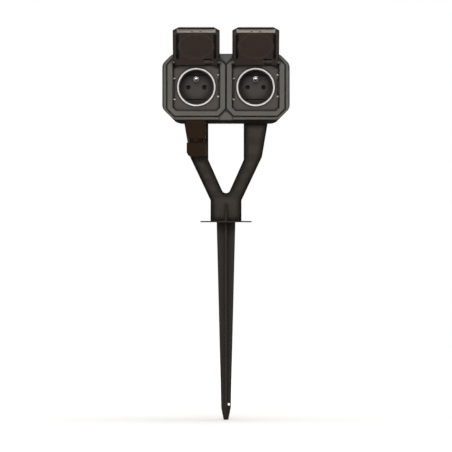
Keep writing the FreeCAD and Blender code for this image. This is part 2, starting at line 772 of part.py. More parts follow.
def make_shutter_spring(side, middle):
    label = "shutter_spring_" + side
    outer = doc.addObject("Part::Cylinder", label + "_outside")
    outer.setExpression("Radius", bound("shutter_spring_radius"))
    inner = doc.addObject("Part::Cylinder", label + "_inside")
    inner.setExpression("Radius", bound("shutter_spring_bore"))
    middle_depth = "well_floor_front - well_floor_thickness - bay_depth / 2"
    for solid in (outer, inner):
        solid.setExpression("Height", bound("spring_length"))
    spring = doc.addObject("Part::Cut", label)
    spring.Base = outer
    spring.Tool = inner
    place(spring, middle, middle_depth, "socket_height - shutter_half_height - spring_length")
    spring.Label = label
    nodes.append(spring)


def make_bus_bar(label, sleeve_side, strips):
    """A strip with a sleeve for each socket's contact, and a tail down to the terminal block."""
    bar = start(label)
    back = "-carrier_back - bar_thickness"
    for index, corners in enumerate(strips):
        strip = draw(bar, "strip_%d" % index, "XZ_Plane", back, corners)
        pad(bar, "strip_pad_%d" % index, strip, "bar_thickness")
    centres = ["%s %s contact_spacing / 2" % (middle, sleeve_side) for middle in sides.values()]
    sleeves = draw(bar, "sleeves", "XZ_Plane", back,
                   *[("circle", x, "socket_height", "contact_radius") for x in centres])
    pad(bar, "sleeve_pads", sleeves, "contact_front + carrier_back + bar_thickness")
    bores = draw(bar, "sleeve_bores", "XZ_Plane", "contact_front",
                 *[("circle", x, "socket_height", "contact_bore_radius") for x in centres])
    pocket(bar, "sleeve_bore_cuts", bores, "contact_front + carrier_back")


def make_conductors():
    half_pitch = "socket_pitch / 2"
    half_gap = "contact_spacing / 2"
    line_high = "line_bar_bottom + bar_height"
    lug_low, lug_high = "socket_height - contact_radius", "socket_height + contact_radius"
    left, right = "(%s - %s)" % (half_gap, half_pitch), "(%s + %s)" % (half_gap, half_pitch)
    line_strips = [
        box(left + " - lug_half_width", right + " + lug_half_width", "line_bar_bottom", line_high),
        box(left + " - lug_half_width", left + " + lug_half_width", lug_low, line_high),
        box(right + " - lug_half_width", right + " + lug_half_width", lug_low, line_high),
        box("line_tail_left", "line_tail_left + tail_width", "line_run_bottom", line_high),
        box("line_foot_left", "line_tail_left + tail_width",
            "line_run_bottom", "line_run_bottom + tail_width"),
        box("line_foot_left", "line_foot_left + tail_width", "block_top", "line_run_bottom + tail_width"),
    ]
    make_bus_bar("line_bus_bar", "+", line_strips)
    neutral_high = "neutral_bar_bottom + bar_height"
    low = "neutral_bar_bottom"
    left, right = "(-%s - %s)" % (half_pitch, half_gap), "(%s - %s)" % (half_pitch, half_gap)
    neutral_strips = [
        box(left + " - lug_half_width", right + " + lug_half_width", low, neutral_high),
        box(left + " - lug_half_width", left + " + lug_half_width", low, lug_high),
        box(right + " - lug_half_width", right + " + lug_half_width", low, lug_high),
        box("neutral_tail_left", "neutral_tail_left + tail_width", "block_top", neutral_high),
    ]
    make_bus_bar("neutral_bus_bar", "-", neutral_strips)
    earth = start("earth_bus_bar")
    reach = "(%s + tail_width)" % half_pitch
    strip = draw(earth, "strip", "XZ_Plane", "earth_bar_front - bar_thickness",
                 box("-" + reach, reach, "earth_bar_bottom", "earth_bar_bottom + earth_bar_height"))
    pad(earth, "strip_pad", strip, "bar_thickness")
    tail = draw(earth, "tail", "XZ_Plane", "earth_bar_front - bar_thickness",
                box("-tail_width / 2", "tail_width / 2", "block_top", "earth_bar_bottom + overrun"))
    pad(earth, "tail_pad", tail, "bar_thickness")


def make_terminals():
    block = start("terminal_block")
    back = "(back_wall - housing_back)"
    body = draw(block, "body", "XZ_Plane", back,
                box("-block_half_width", "block_half_width", "block_bottom", "block_top"))
    pad(block, "body_pad", body, "block_front - " + back)
    centres = ["-terminal_spacing", "0", "terminal_spacing"]
    wire_depth = "(block_front + %s) / 2" % back
    wires = draw(block, "wire_holes", "XY_Plane", "block_bottom",
                 *[("circle", x, "-" + wire_depth, "wire_hole_radius") for x in centres])
    pocket(block, "wire_hole_cuts", wires, "(block_top - block_bottom) / 2", Reversed=True)
    middle = "(block_bottom + block_top) / 2"
    wells = draw(block, "screw_holes", "XZ_Plane", "block_front",
                 *[("circle", x, middle, "terminal_screw_radius") for x in centres])
    reach = "((block_front - %s) / 2)" % back
    pocket(block, "screw_hole_cuts", wells, reach)
    make_screws("terminal_screws", [(x, "block_front", middle) for x in centres], "back",
                "terminal_screw_radius", reach + " - pilot_spare",
                "terminal_head_radius", "terminal_head_height")


def make_screws(label, places, direction, radius, length, head_radius, head_height):
    """A group of screws, each with its head's seat at its place and its shank in the direction."""
    turns = {
        "back": FreeCAD.Rotation(FreeCAD.Vector(1, 0, 0), -90),
        "front": FreeCAD.Rotation(FreeCAD.Vector(1, 0, 0), 90),
        "up": FreeCAD.Rotation(),
    }
    group = []
    for index, (x, forward, z) in enumerate(places):
        stem = doc.addObject("Part::Cylinder", "%s_shank_%d" % (label, index))
        stem.setExpression("Radius", bound(radius))
        stem.setExpression("Height", bound("%s + %s / 2" % (length, head_height)))
        stem.setExpression("Placement.Base.z", bound("-%s / 2" % head_height))
        head = doc.addObject("Part::Cylinder", "%s_head_%d" % (label, index))
        head.setExpression("Radius", bound(head_radius))
        head.setExpression("Height", bound(head_height))
        head.setExpression("Placement.Base.z", bound("-" + head_height))
        screw = doc.addObject("Part::Fuse", "%s_%d" % (label, index))
        screw.Base = head
        screw.Tool = stem
        screw.Placement = FreeCAD.Placement(FreeCAD.Vector(), turns[direction])
        place(screw, x, forward, z)
        group.append(screw)
    if len(group) == 1:
        screws = group[0]
    else:
        screws = doc.addObject("Part::Compound", label)
        screws.Links = group
    screws.Label = label
    nodes.append(screws)


def open_lid(piece):
    """Swings a piece about the hinge axis, through its own origin, to the open stop."""
    piece.Placement = FreeCAD.Placement(FreeCAD.Vector(), FreeCAD.Rotation(FreeCAD.Vector(1, 0, 0), -90))
    piece.setExpression("Placement.Rotation.Angle", bound("-lid_open_angle") + " * 1 deg")


def make_lid(side, middle):
    lid = start("lid_" + side, middle, "hinge_front", "hinge_height")
    skirt_top = draw(lid, "skirt_top", "XZ_Plane", "0", skirt_outline("skirt_step", "-lid_shoulder"))
    skirt_rim = draw(lid, "skirt_rim", "XZ_Plane", "lid_rim_edge",
                     skirt_outline("skirt_taper", "-lid_shoulder"))
    loft(lid, "AdditiveLoft", "skirt", skirt_top, skirt_rim)
    plate_back = "(lid_face - lid_plate)"
    mouth = "overrun - lid_shoulder"
    hollow_top = draw(lid, "hollow_top", "XZ_Plane", plate_back,
                      skirt_outline("(skirt_step + lid_wall)", mouth))
    hollow_rim = draw(lid, "hollow_rim", "XZ_Plane", "lid_rim_edge",
                      skirt_outline("(skirt_taper + lid_wall)", mouth))
    loft(lid, "SubtractiveLoft", "hollow", hollow_top, hollow_rim)
    plate = draw(lid, "plate", "XZ_Plane", "0", [
        ("lip_corner_width - lid_half_width", "-lid_length"),
        ("lid_half_width - lip_corner_width", "-lid_length"),
        ("lid_half_width", "lip_corner_length - lid_length"),
        ("lid_half_width", "-lid_shoulder"),
        ("-lid_half_width", "-lid_shoulder"),
        ("-lid_half_width", "lip_corner_length - lid_length"),
    ])
    pad(lid, "plate_pad", plate, "lid_face")
    soften(lid, "Chamfer", "face_bevel", "lid_bevel", edge_at_forward("lid_face"))
    pad_back = "(%s - pad_thickness)" % plate_back
    ridge = draw(lid, "ridge", "XZ_Plane", pad_back,
                 box("-pad_half_width", "pad_half_width",
                     "lid_wall + pad_end_margin - skirt_end", "-lid_shoulder"))
    pad(lid, "ridge_pad", ridge, "pad_thickness")
    tongue = draw(lid, "tongue", "XZ_Plane", pad_back,
                  box("-tongue_half_width", "tongue_half_width", "-lid_shoulder - lid_bevel", "0"))
    pad(lid, "tongue_pad", tongue, "lid_plate + pad_thickness")
    barrel = draw(lid, "barrel", "YZ_Plane", "-tongue_half_width", ("circle", "0", "0", "barrel_radius"))
    pad(lid, "barrel_pad", barrel, "2 * tongue_half_width")
    bore = draw(lid, "bore", "YZ_Plane", "tongue_half_width",
                ("circle", "0", "0", "pin_radius + pin_running_clearance"))
    pocket(lid, "bore_cut", bore, "2 * tongue_half_width")
    window = draw(lid, "window", "XZ_Plane", "lid_face + barrel_radius",
                  box("window_left", "window_right", "-window_length", "barrel_radius + overrun"))
    pocket(lid, "window_cut", window, "lid_face + barrel_radius - %s + overrun" % pad_back)
    seal_centre = "socket_height - hinge_height"
    landing = "(collar_front + seal_landing_gap - hinge_front)"
    seat = draw(lid, "seal_seat", "XZ_Plane", landing,
                ("circle", "0", seal_centre, "seal_outer_radius + seal_seat_clearance"),
                ("circle", "0", seal_centre, "seal_inner_radius - seal_seat_clearance"))
    pocket(lid, "seal_seat_cut", seat, "%s - %s" % (plate_back, landing), Reversed=True)
    notches = draw(lid, "rim_notches", "XZ_Plane", "lid_rim_edge",
                   *[box("%d * rim_notch_side - rim_notch_width / 2" % hand,
                         "%d * rim_notch_side + rim_notch_width / 2" % hand,
                         "-skirt_end - overrun", "lid_wall - skirt_end") for hand in (-1, 1)])
    pocket(lid, "rim_notch_cuts", notches, "rim_notch_height", Reversed=True)
    open_lid(lid)


def skirt_outline(inset, top):
    """The lid's side and end walls, drawn in by inset, up to a top line."""
    half, end = "(lid_half_width - %s)" % inset, "(%s - skirt_end)" % inset
    corner = "(skirt_corner - %s * (2 - sqrt(2)))" % inset
    return [
        ("%s - %s" % (corner, half), end),
        ("%s - %s" % (half, corner), end),
        (half, "%s + %s" % (end, corner)),
        (half, top),
        ("-" + half, top),
        ("-" + half, "%s + %s" % (end, corner)),
    ]


def make_lid_seal(side, middle):
    seal = start("lid_seal_" + side, middle, "hinge_front", "hinge_height")
    landing = "(collar_front + seal_landing_gap - hinge_front)"
    centre = "socket_height - hinge_height"
    ring = draw(seal, "ring", "XZ_Plane", landing,
                ("circle", "0", centre, "seal_outer_radius"), ("circle", "0", centre, "seal_inner_radius"))
    pad(seal, "ring_pad", ring, "lid_face - lid_plate - " + landing)
    open_lid(seal)


def make_hinge_pin(side, middle):
    pin = doc.addObject("Part::Cylinder", "hinge_pin_" + side)
    pin.setExpression("Radius", bound("pin_radius"))
    pin.setExpression("Height", bound("2 * pin_half_length"))
    pin.Placement = FreeCAD.Placement(FreeCAD.Vector(), FreeCAD.Rotation(FreeCAD.Vector(0, 1, 0), 90))
    place(pin, middle + " - pin_half_length", "hinge_front", "hinge_height")
    nodes.append(pin)


def arc_pair(start_point, start_heading, end_point, end_heading):
    """Two arcs that leave the first point and reach the second along the given unit headings."""
    chord = end_point - start_point
    both = start_heading + end_heading
    spread = 2 * (1 - start_heading.dot(end_heading))
    reach = (-chord.dot(both) + math.sqrt(chord.dot(both) ** 2 + spread * chord.dot(chord))) / spread
    first_corner = start_point + start_heading * reach
    second_corner = end_point - end_heading * reach
    joint = (first_corner + second_corner) * 0.5
    arcs = []
    for low, corner, high in ((start_point, first_corner, joint), (joint, second_corner, end_point)):
        middle = (low + high) * 0.5
        half_chord, height = (high - low).Length / 2, (corner - middle).Length
        sagitta = half_chord * math.tan(math.atan2(height, half_chord) / 2)
        arcs.append(Part.Arc(low, middle + (corner - middle) * (sagitta / height), high).toShape())
    return arcs


def make_lid_spring(side, middle):
    """A torsion spring on the hinge pin: one unbroken tube with a straight leg at each end."""
    radius, wire, turns = number("coil_radius"), number("wire_radius"), int(number("coil_turns"))
    pitch = 2 * wire + number("coil_gap")
    rise = pitch / (2 * math.pi * radius)
    lean = math.sqrt(1 + rise * rise)
    lid_angle = math.radians(number("lid_open_angle"))

    # The first leg stands on the recess floor; the second lies on the open lid's outer face.
    first_angle = math.pi / 2
    last_angle = 2 * math.pi * turns + math.pi - lid_angle

    def on_coil(angle):
        along = pitch * (angle - first_angle) / (2 * math.pi)
        return FreeCAD.Vector(along, radius * math.cos(angle), radius * math.sin(angle))

    def heading(angle):
        """Along the coil, but square to the hinge axis at both ends, where the legs leave."""
        if angle in (first_angle, last_angle):
            return FreeCAD.Vector(0, -math.sin(angle), math.cos(angle))
        return FreeCAD.Vector(rise / lean, -math.sin(angle) / lean, math.cos(angle) / lean)

    steps = 4 * turns
    sweep = last_angle - first_angle
    angles = [first_angle + sweep * index / steps for index in range(steps)] + [last_angle]
    first_leg = number("hinge_front - ledge_front - spring_gap")
    start_point = on_coil(first_angle) - heading(first_angle) * first_leg
    edges = [Part.LineSegment(start_point, on_coil(first_angle)).toShape()]
    for low, high in zip(angles, angles[1:]):
        edges += arc_pair(on_coil(low), heading(low), on_coil(high), heading(high))
    end_point = on_coil(last_angle) + heading(last_angle) * number("spring_leg")
    edges.append(Part.LineSegment(on_coil(last_angle), end_point).toShape())
    path = Part.Wire(edges)
    ring = Part.Wire([Part.makeCircle(wire, start_point, heading(first_angle))])
    tube = path.makePipeShell([ring], True, False)
    if tube.Volume < 0:
        tube.reverse()
    gap = least_coil_gap(on_coil, first_angle, last_angle) - 2 * wire
    print("lid spring %s: %d turns, least gap to itself %.3f mm, volume %.2f of %.2f mm3"
          % (side, turns, gap, tube.Volume, path.Length * math.pi * wire * wire))
    spring = doc.addObject("Part::Feature", "lid_spring_" + side)
    spring.Shape = tube
    coil_length = pitch * sweep / (2 * math.pi)
    left = number(middle + " + (window_left + window_right) / 2") - coil_length / 2
    spring.Placement = FreeCAD.Placement(
        FreeCAD.Vector(left, -number("hinge_front"), number("hinge_height")), FreeCAD.Rotation())
    nodes.append(spring)


def least_coil_gap(on_coil, first_angle, last_angle):
    """Least centre distance between points of the coil more than half a turn apart."""
    half_turn = 36
    step = math.pi / half_turn
    count = int((last_angle - first_angle) / step) + 1
    points = [on_coil(first_angle + step * index) for index in range(count)]
    return min((points[low] - points[high]).Length
               for low in range(count) for high in range(low + half_turn, count))


def inner_edge(z):
    """Half the gap between the fork's legs at a height on the slant."""
    return "leg_inner * (%s - crotch_apex) / (inner_knee - crotch_apex)" % z


def outer_edge(z):
    """Half the fork's width at a height on the slant."""
    slope = "(knee_half_width - stem_half_width) / (knee_height - stem_top)"
    return "(stem_half_width + (%s - stem_top) * %s)" % (z, slope)


def upper_outer_edge(z):
    """Half the fork's width at a height on the upper legs."""
    slope = "(leg_outer - knee_half_width) / (seam_bottom - knee_height)"
    return "(knee_half_width + (%s - knee_height) * %s)" % (z, slope)


def make_fork():
    fork = start("fork")
    right_half = [
        ("stem_half_width", "flange_thickness"),
        ("stem_half_width", "stem_top"),
        ("knee_half_width", "knee_height"),
        ("leg_outer", "seam_bottom"),
        ("leg_inner", "seam_bottom"),
        ("leg_inner", "inner_knee"),
        ("0", "crotch_apex"),
    ]
    left_half = [("-" + x, z) for x, z in reversed(right_half[:-1])]
    outline = draw(fork, "outline", "XZ_Plane", "-fork_depth / 2", right_half + left_half)
    pad(fork, "outline_pad", outline, "fork_depth")
    apex = number("crotch_apex")
    soften(fork, "Fillet", "crotch", "crotch_radius",
           lambda edge: abs(edge.BoundBox.ZMin - apex) + abs(edge.BoundBox.ZMax - apex) < 1e-4)
    front, top, foot = edge_at_forward("fork_depth / 2"), number("seam_bottom"), number("flange_thickness")
    soften(fork, "Fillet", "front_round", "fork_edge_round",
           lambda edge: front(edge) and edge.BoundBox.ZMin < top - 1e-3 and edge.BoundBox.ZMax > foot + 1e-3)
    cells = [stem_cell()]
    for hand in ("-1 * ", "1 * "):
        cells += leg_cells(hand)
    hollow = draw(fork, "cells", "XZ_Plane", "-fork_depth / 2", *cells)
    pocket(fork, "cell_cuts", hollow, "fork_depth - fork_front_wall", Reversed=True)
    add_tenon_seat(fork)
    holes = draw(fork, "head_holes", "XY_Plane", "seam_bottom",
                 *[("circle", x, "0", "fork_screw_radius") for x in fork_screw_places])
    pocket(fork, "head_hole_cuts", holes, "leg_cap")


def stem_cell():
    wall, low = "fork_wall", "flange_thickness + fork_wall"
    high = "(crotch_apex + crotch_radius - stem_cell_margin)"
    right = [
        ("stem_half_width - " + wall, low),
        ("stem_half_width - " + wall, "stem_top"),
        (outer_edge(high) + " - " + wall, high),
    ]
    return right + [("-(%s)" % x, z) for x, z in reversed(right)]


def leg_cells(hand):
    """The open cells of one leg between its cross ribs, from the crotch to the cap under the head."""
    slant_low, slant_high = "(crotch_apex + crotch_radius + fork_wall)", "inner_knee"
    slant_height = "(%s - %s - 2 * fork_rib) / 3" % (slant_high, slant_low)
    cells = []
    for index in range(3):
        low = "(%s + %d * (%s + fork_rib))" % (slant_low, index, slant_height)
        high = "(%s + %s)" % (low, slant_height)
        shift = " + crotch_cell_shift" if index == 0 else ""
        cells.append([
            (inner_edge(low) + " + fork_slant_wall" + shift, low),
            (outer_edge(low) + " - fork_slant_wall", low),
            (outer_edge(high) + " - fork_slant_wall", high),
            (inner_edge(high) + " + fork_slant_wall", high),
        ])
    upper_low, upper_high = "knee_height", "(seam_bottom - leg_cap)"
    upper_height = "(%s - %s - fork_rib) / 2" % (upper_high, upper_low)
    for index in range(2):
        low = "(%s + %d * (%s + fork_rib))" % (upper_low, index, upper_height)
        high = "(%s + %s)" % (low, upper_height)
        cells.append([
            ("leg_inner + fork_wall", low),
            (upper_outer_edge(low) + " - fork_wall", low),
            (upper_outer_edge(high) + " - fork_wall", high),
            ("leg_inner + fork_wall", high),
        ])
    return [[("%s(%s)" % (hand, x), z) for x, z in cell] for cell in cells]


def add_tenon_seat(fork):
    """The mouth in the stem's foot for the spike's tenon, and the bridge that its screw clamps."""
    half, depth = "(tenon_half_width + tenon_clearance)", "(tenon_half_depth + tenon_clearance)"
    mouth = draw(fork, "mouth", "XY_Plane", "flange_thickness + fork_wall",
                 box("-" + half, half, "-" + depth, depth))
    pocket(fork, "mouth_cut", mouth, "fork_wall")
    bridge = draw(fork, "bridge", "XZ_Plane", "-fork_depth / 2",
                  box("fork_wall / 2 - stem_half_width", "stem_half_width - fork_wall / 2",
                      "tenon_screw_height - bridge_half_height", "tenon_screw_height + bridge_half_height"))
    pad(fork, "bridge_pad", bridge, "bridge_thickness")
    hole = draw(fork, "bridge_hole", "XZ_Plane", "-fork_depth / 2",
                ("circle", "0", "tenon_screw_height", "fork_screw_radius"))
    pocket(fork, "bridge_hole_cut", hole, "bridge_thickness", Reversed=True)


def make_spike():
    spike = start("spike")
    flange = draw(spike, "flange", "XY_Plane", "0", ("circle", "0", "0", "flange_radius"))
    pad(spike, "flange_pad", flange, "flange_thickness")
    right = [
        ("spike_half_width", "0"),
        ("spike_half_width", "flange_thickness / 2"),
        ("-spike_half_width", "flange_thickness / 2"),
        ("-spike_half_width", "0"),
        ("-spike_tip_half_width", "-spike_shoulder"),
        ("-spike_end_half_width", "-spike_end"),
        ("spike_end_half_width", "-spike_end"),
        ("spike_tip_half_width", "-spike_shoulder"),
    ]
    for name, role in (("side_fins", "XZ_Plane"), ("front_fins", "YZ_Plane")):
        blade = draw(spike, name, role, "0", right)
        pad(spike, name + "_pad", blade, "fin_thickness", Midplane=True)
    hole = draw(spike, "peg_hole", "XZ_Plane", "fin_thickness / 2",
                ("circle", "peg_hole_side", "-peg_hole_depth", "peg_hole_radius"))
    pocket(spike, "peg_hole_cut", hole, "fin_thickness")
    gusset = draw(spike, "gusset", "YZ_Plane", "0", [
        ("-fork_depth / 2", "flange_thickness / 2"),
        ("-fork_depth / 2", "flange_thickness + gusset_height"),
        ("-fork_depth / 2 - gusset_edge", "flange_thickness + gusset_height"),
        ("-fork_depth / 2 - gusset_foot", "flange_thickness + gusset_edge"),
        ("-fork_depth / 2 - gusset_foot", "flange_thickness / 2"),
    ])
    pad(spike, "gusset_pad", gusset, "gusset_thickness", Midplane=True)
    top = "(flange_thickness + tenon_height)"
    ribs = [("tenon_wide", "XZ_Plane", "tenon_half_width"), ("tenon_deep", "YZ_Plane", "tenon_half_depth")]
    for name, role, half in ribs:
        rib = draw(spike, name, role, "0", box("-" + half, half, "flange_thickness / 2", top))
        pad(spike, name + "_pad", rib, "fin_thickness", Midplane=True)
    boss = draw(spike, "tenon_boss", "XZ_Plane", "-tenon_half_depth",
                ("circle", "0", "tenon_screw_height", "tenon_boss_radius"))
    pad(spike, "tenon_boss_pad", boss, "2 * tenon_half_depth")
    pilot = draw(spike, "tenon_pilot", "XZ_Plane", "-tenon_half_depth",
                 ("circle", "0", "tenon_screw_height", "fork_screw_radius"))
    pocket(spike, "tenon_pilot_cut", pilot, "spike_screw_grip + pilot_spare", Reversed=True)


def make_cable_gland():
    back = "(fork_depth / 2 + gland_gap)"
    gland = start("cable_gland", sides["left"])
    face = draw(gland, "face", "XZ_Plane", back, [
        ("-gland_bottom_half_width", "gland_bottom"),
        ("gland_bottom_half_width", "gland_bottom"),
        ("gland_bottom_half_width", "band_bottom"),
        ("-gland_top_half_width", "band_bottom"),
    ])
    pad(gland, "face_pad", face, "gland_front - " + back)
    front, low = edge_at_forward("gland_front"), number("gland_bottom")
    soften(gland, "Fillet", "front_round", "gland_edge_round",
           lambda edge: front(edge) and edge.BoundBox.ZLength > 1)
    slope = "((band_bottom - seam_bottom) / (band_front - seam_front))"
    high = "(seam_bottom + (gland_front + overrun - seam_front) * %s)" % slope
    above = draw(gland, "underside", "YZ_Plane", "gland_top_half_width + overrun", [
        ("overrun - " + back, "seam_bottom"),
        ("-seam_front", "seam_bottom"),
        ("-(gland_front + overrun)", high),
        ("-(gland_front + overrun)", "band_bottom + overrun"),
        ("overrun - " + back, "band_bottom + overrun"),
    ])
    pocket(gland, "underside_cut", above, "2 * (gland_top_half_width + overrun)")
    neck = draw(gland, "neck", "XY_Plane", "neck_bottom",
                ("circle", "0", "-cable_axis_front", "neck_radius"))
    pad(gland, "neck_pad", neck, "gland_bottom - neck_bottom + overrun")
    bore = draw(gland, "bore", "XY_Plane", "band_bottom",
                ("circle", "0", "-cable_axis_front", "cable_bore_radius"))
    pocket(gland, "bore_cut", bore, "band_bottom - neck_bottom")
    pilots = draw(gland, "pilots", "XY_Plane", "gland_bottom", *clamp_screw_circles("clamp_screw_radius"))
    pocket(gland, "pilot_cuts", pilots, "clamp_screw_reach + pilot_spare", Reversed=True)


def clamp_screw_circles(radius):
    """Circles at the clamp's two screws, from the cable entry's own middle."""
    return [("circle", x, "clamp_screw_back - cable_axis_front", radius)
            for x in ("-clamp_screw_side", "clamp_screw_side")]


def make_cable_clamp():
    back = "(fork_depth / 2 + gland_gap)"
    clamp = start("cable_clamp", sides["left"])
    face = draw(clamp, "face", "XZ_Plane", back, [
        ("clamp_left_corner_width - clamp_half_width", "clamp_bottom"),
        ("clamp_half_width - clamp_right_corner", "clamp_bottom"),
        ("clamp_half_width", "clamp_bottom + clamp_right_corner"),
        ("clamp_half_width", "neck_bottom"),
        ("-clamp_half_width", "neck_bottom"),
        ("-clamp_half_width", "clamp_bottom + clamp_left_corner_height"),
    ])
    pad(clamp, "face_pad", face, "clamp_front - " + back)
    soften(clamp, "Fillet", "front_round", "gland_edge_round", edge_at_forward("clamp_front"))
    pit = draw(clamp, "seal_pocket", "XY_Plane", "neck_bottom",
               ("circle", "0", "-cable_axis_front", "seal_pocket_radius"))
    pocket(clamp, "seal_pocket_cut", pit, "seal_pocket_depth")
    bore = draw(clamp, "bore", "XY_Plane", "neck_bottom",
                ("circle", "0", "-cable_axis_front", "cable_bore_radius"))
    pocket(clamp, "bore_cut", bore, "neck_bottom - clamp_bottom")
    holes = draw(clamp, "screw_holes", "XY_Plane", "neck_bottom",
                 *clamp_screw_circles("clamp_screw_radius + clamp_screw_clearance"))
    pocket(clamp, "screw_hole_cuts", holes, "neck_bottom - clamp_bottom")
    heads = draw(clamp, "counterbores", "XY_Plane", "clamp_bottom",
                 *clamp_screw_circles("clamp_counterbore_radius"))
    pocket(clamp, "counterbore_cuts", heads, "clamp_counterbore_depth", Reversed=True)
    seat = "clamp_bottom + clamp_counterbore_depth"
    make_screws("clamp_screws", [("%s %s clamp_screw_side" % (sides["left"], hand),
                                  "cable_axis_front - clamp_screw_back", seat) for hand in "-+"],
                "up", "clamp_screw_radius", "gland_bottom + clamp_screw_reach - (%s)" % seat,
                "clamp_head_radius", "clamp_head_height")
    seal = start("cable_seal", sides["left"])
    ring = draw(seal, "ring", "XY_Plane", "neck_bottom - seal_pocket_depth",
                ("circle", "0", "-cable_axis_front", "seal_pocket_radius"),
                ("circle", "0", "-cable_axis_front", "cable_seal_radius"))
    pad(seal, "ring_pad", ring, "seal_pocket_depth")


make_front_cover()
make_rear_housing()
make_housing_seal()
make_screws("cover_screws", [(x, "counterbore_depth - housing_back", z) for x, z in cover_screw_places],
            "front", "cover_screw_radius",
            "seam_front + housing_back - counterbore_depth + cover_screw_grip",
            "screw_head_radius", "screw_head_height")
for side, middle in sides.items():
    make_socket_insert(side, middle)
    make_well(side, middle)
    make_floor(side, middle)
    make_collar(side, middle)
    make_earth_pin(side, middle)
    make_contact_carrier(side, middle)
    make_shutter(side, middle)
    make_shutter_spring(side, middle)
    make_lid(side, middle)
    make_lid_seal(side, middle)
    make_hinge_pin(side, middle)
    make_lid_spring(side, middle)
make_conductors()
make_terminals()
make_fork()
make_screws("fork_screws", [(x, "0", "seam_bottom - leg_cap") for x in fork_screw_places], "up",
            "fork_screw_radius", "leg_cap + fork_screw_reach", "screw_head_radius", "screw_head_height")
make_spike()
make_screws("spike_screw", [("0", "-fork_depth / 2", "tenon_screw_height")], "front",
            "fork_screw_radius", "fork_depth / 2 - tenon_half_depth + spike_screw_grip",
            "screw_head_radius", "screw_head_height")
make_cable_gland()
make_cable_clamp()

doc.recompute()
for item in doc.Objects:
    if {"Invalid", "Error"} & set(item.State):
        raise ValueError("%s is %s" % (item.Name, item.State))
for node in nodes:
    if node.Shape.isNull() or not node.Shape.isValid():
        raise ValueError(node.Label + " has no valid shape")

os.makedirs("parts", exist_ok=True)
for node in nodes:
    node.Shape.exportStep("parts/%s.step" % node.Label)
    print("%-24s %d solid(s) %10.1f mm3" % (node.Label, len(node.Shape.Solids), node.Shape.Volume))
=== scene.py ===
import json
import math

import bmesh
import bpy
from mathutils import Matrix, Vector


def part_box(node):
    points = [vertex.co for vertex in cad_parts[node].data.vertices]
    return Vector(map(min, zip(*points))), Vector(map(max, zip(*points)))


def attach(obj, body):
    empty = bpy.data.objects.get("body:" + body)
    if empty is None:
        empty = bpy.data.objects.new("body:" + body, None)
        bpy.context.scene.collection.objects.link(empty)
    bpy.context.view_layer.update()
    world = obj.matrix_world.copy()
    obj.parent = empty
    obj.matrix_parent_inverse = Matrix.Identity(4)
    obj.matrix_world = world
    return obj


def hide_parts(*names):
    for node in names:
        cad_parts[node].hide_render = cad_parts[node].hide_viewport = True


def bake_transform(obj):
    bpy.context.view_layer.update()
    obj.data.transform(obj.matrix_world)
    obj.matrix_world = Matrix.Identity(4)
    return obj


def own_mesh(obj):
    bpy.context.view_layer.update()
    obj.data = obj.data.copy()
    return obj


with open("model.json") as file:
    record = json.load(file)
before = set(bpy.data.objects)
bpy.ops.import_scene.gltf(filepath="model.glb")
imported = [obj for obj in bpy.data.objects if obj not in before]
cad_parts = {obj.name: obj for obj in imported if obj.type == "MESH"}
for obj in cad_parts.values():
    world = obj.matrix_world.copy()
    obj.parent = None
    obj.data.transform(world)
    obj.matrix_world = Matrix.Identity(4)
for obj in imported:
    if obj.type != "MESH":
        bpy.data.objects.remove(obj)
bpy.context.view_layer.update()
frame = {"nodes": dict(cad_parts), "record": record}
mm = 0.001

# Camera: straight in front of the socket spike, far away, so the picture is almost flat
cameraLook = {
    "distance": 7.0,         # metres from the spike's axis
    "height": -0.0045,       # metres, level with the ground flange
    "pictureWidth": 0.5410,  # metres of the object that the picture's width shows
    "widthTaken": 0.027,     # metres in front of the axis where that width holds, at the collars
    "sensor": 36,            # mm
    "farEnd": 60,            # metres
}


def makeCamera(look):
    data = bpy.data.cameras.new("camera")
    data.sensor_width = look["sensor"]
    data.lens = look["sensor"] * (look["distance"] - look["widthTaken"]) / look["pictureWidth"]
    data.clip_end = look["farEnd"]
    camera = bpy.data.objects.new("camera", data)
    bpy.context.scene.collection.objects.link(camera)
    camera.location = (0, -look["distance"], look["height"])
    camera.rotation_euler = (math.radians(90), 0, 0)
    bpy.context.scene.camera = camera


makeCamera(cameraLook)
print("camera set")


def linear(hexColour):  # sRGB hex to the linear colour that the shaders take
    parts = [int(hexColour[i:i + 2], 16) / 255 for i in (1, 3, 5)]
    return [p / 12.92 if p <= 0.04045 else ((p + 0.055) / 1.055) ** 2.4 for p in parts] + [1.0]


def addNode(tree, kind, inputs=None, **settings):  # inputs take a plain value or another node's output
    node = tree.nodes.new(kind)
    for key, value in settings.items():
        setattr(node, key, value)
    for key, source in (inputs or {}).items():
        if isinstance(source, (int, float, list, tuple)):
            node.inputs[key].default_value = source
        else:
            tree.links.new(source, node.inputs[key])
    return node


def newMaterial(name):
    material = bpy.data.materials.new(name)
    material.use_nodes = True
    material.node_tree.nodes.clear()
    return material, material.node_tree


# Roughness that a pattern moves up and down from the look's own, and that pattern's bump over a normal
def roughAndBump(tree, look, pattern, over=None):
    rough = addNode(tree, "ShaderNodeMapRange", {
        "Value": pattern, "To Min": look["roughness"] - look["roughnessDrift"],
        "To Max": look["roughness"] + look["roughnessDrift"]}).outputs["Result"]
    bump = addNode(tree, "ShaderNodeBump", {"Height": pattern, "Distance": look["depth"] * mm,
                                            "Strength": look["bump"]})
    if over:
        tree.links.new(over, bump.inputs["Normal"])
    return rough, bump.outputs["Normal"]


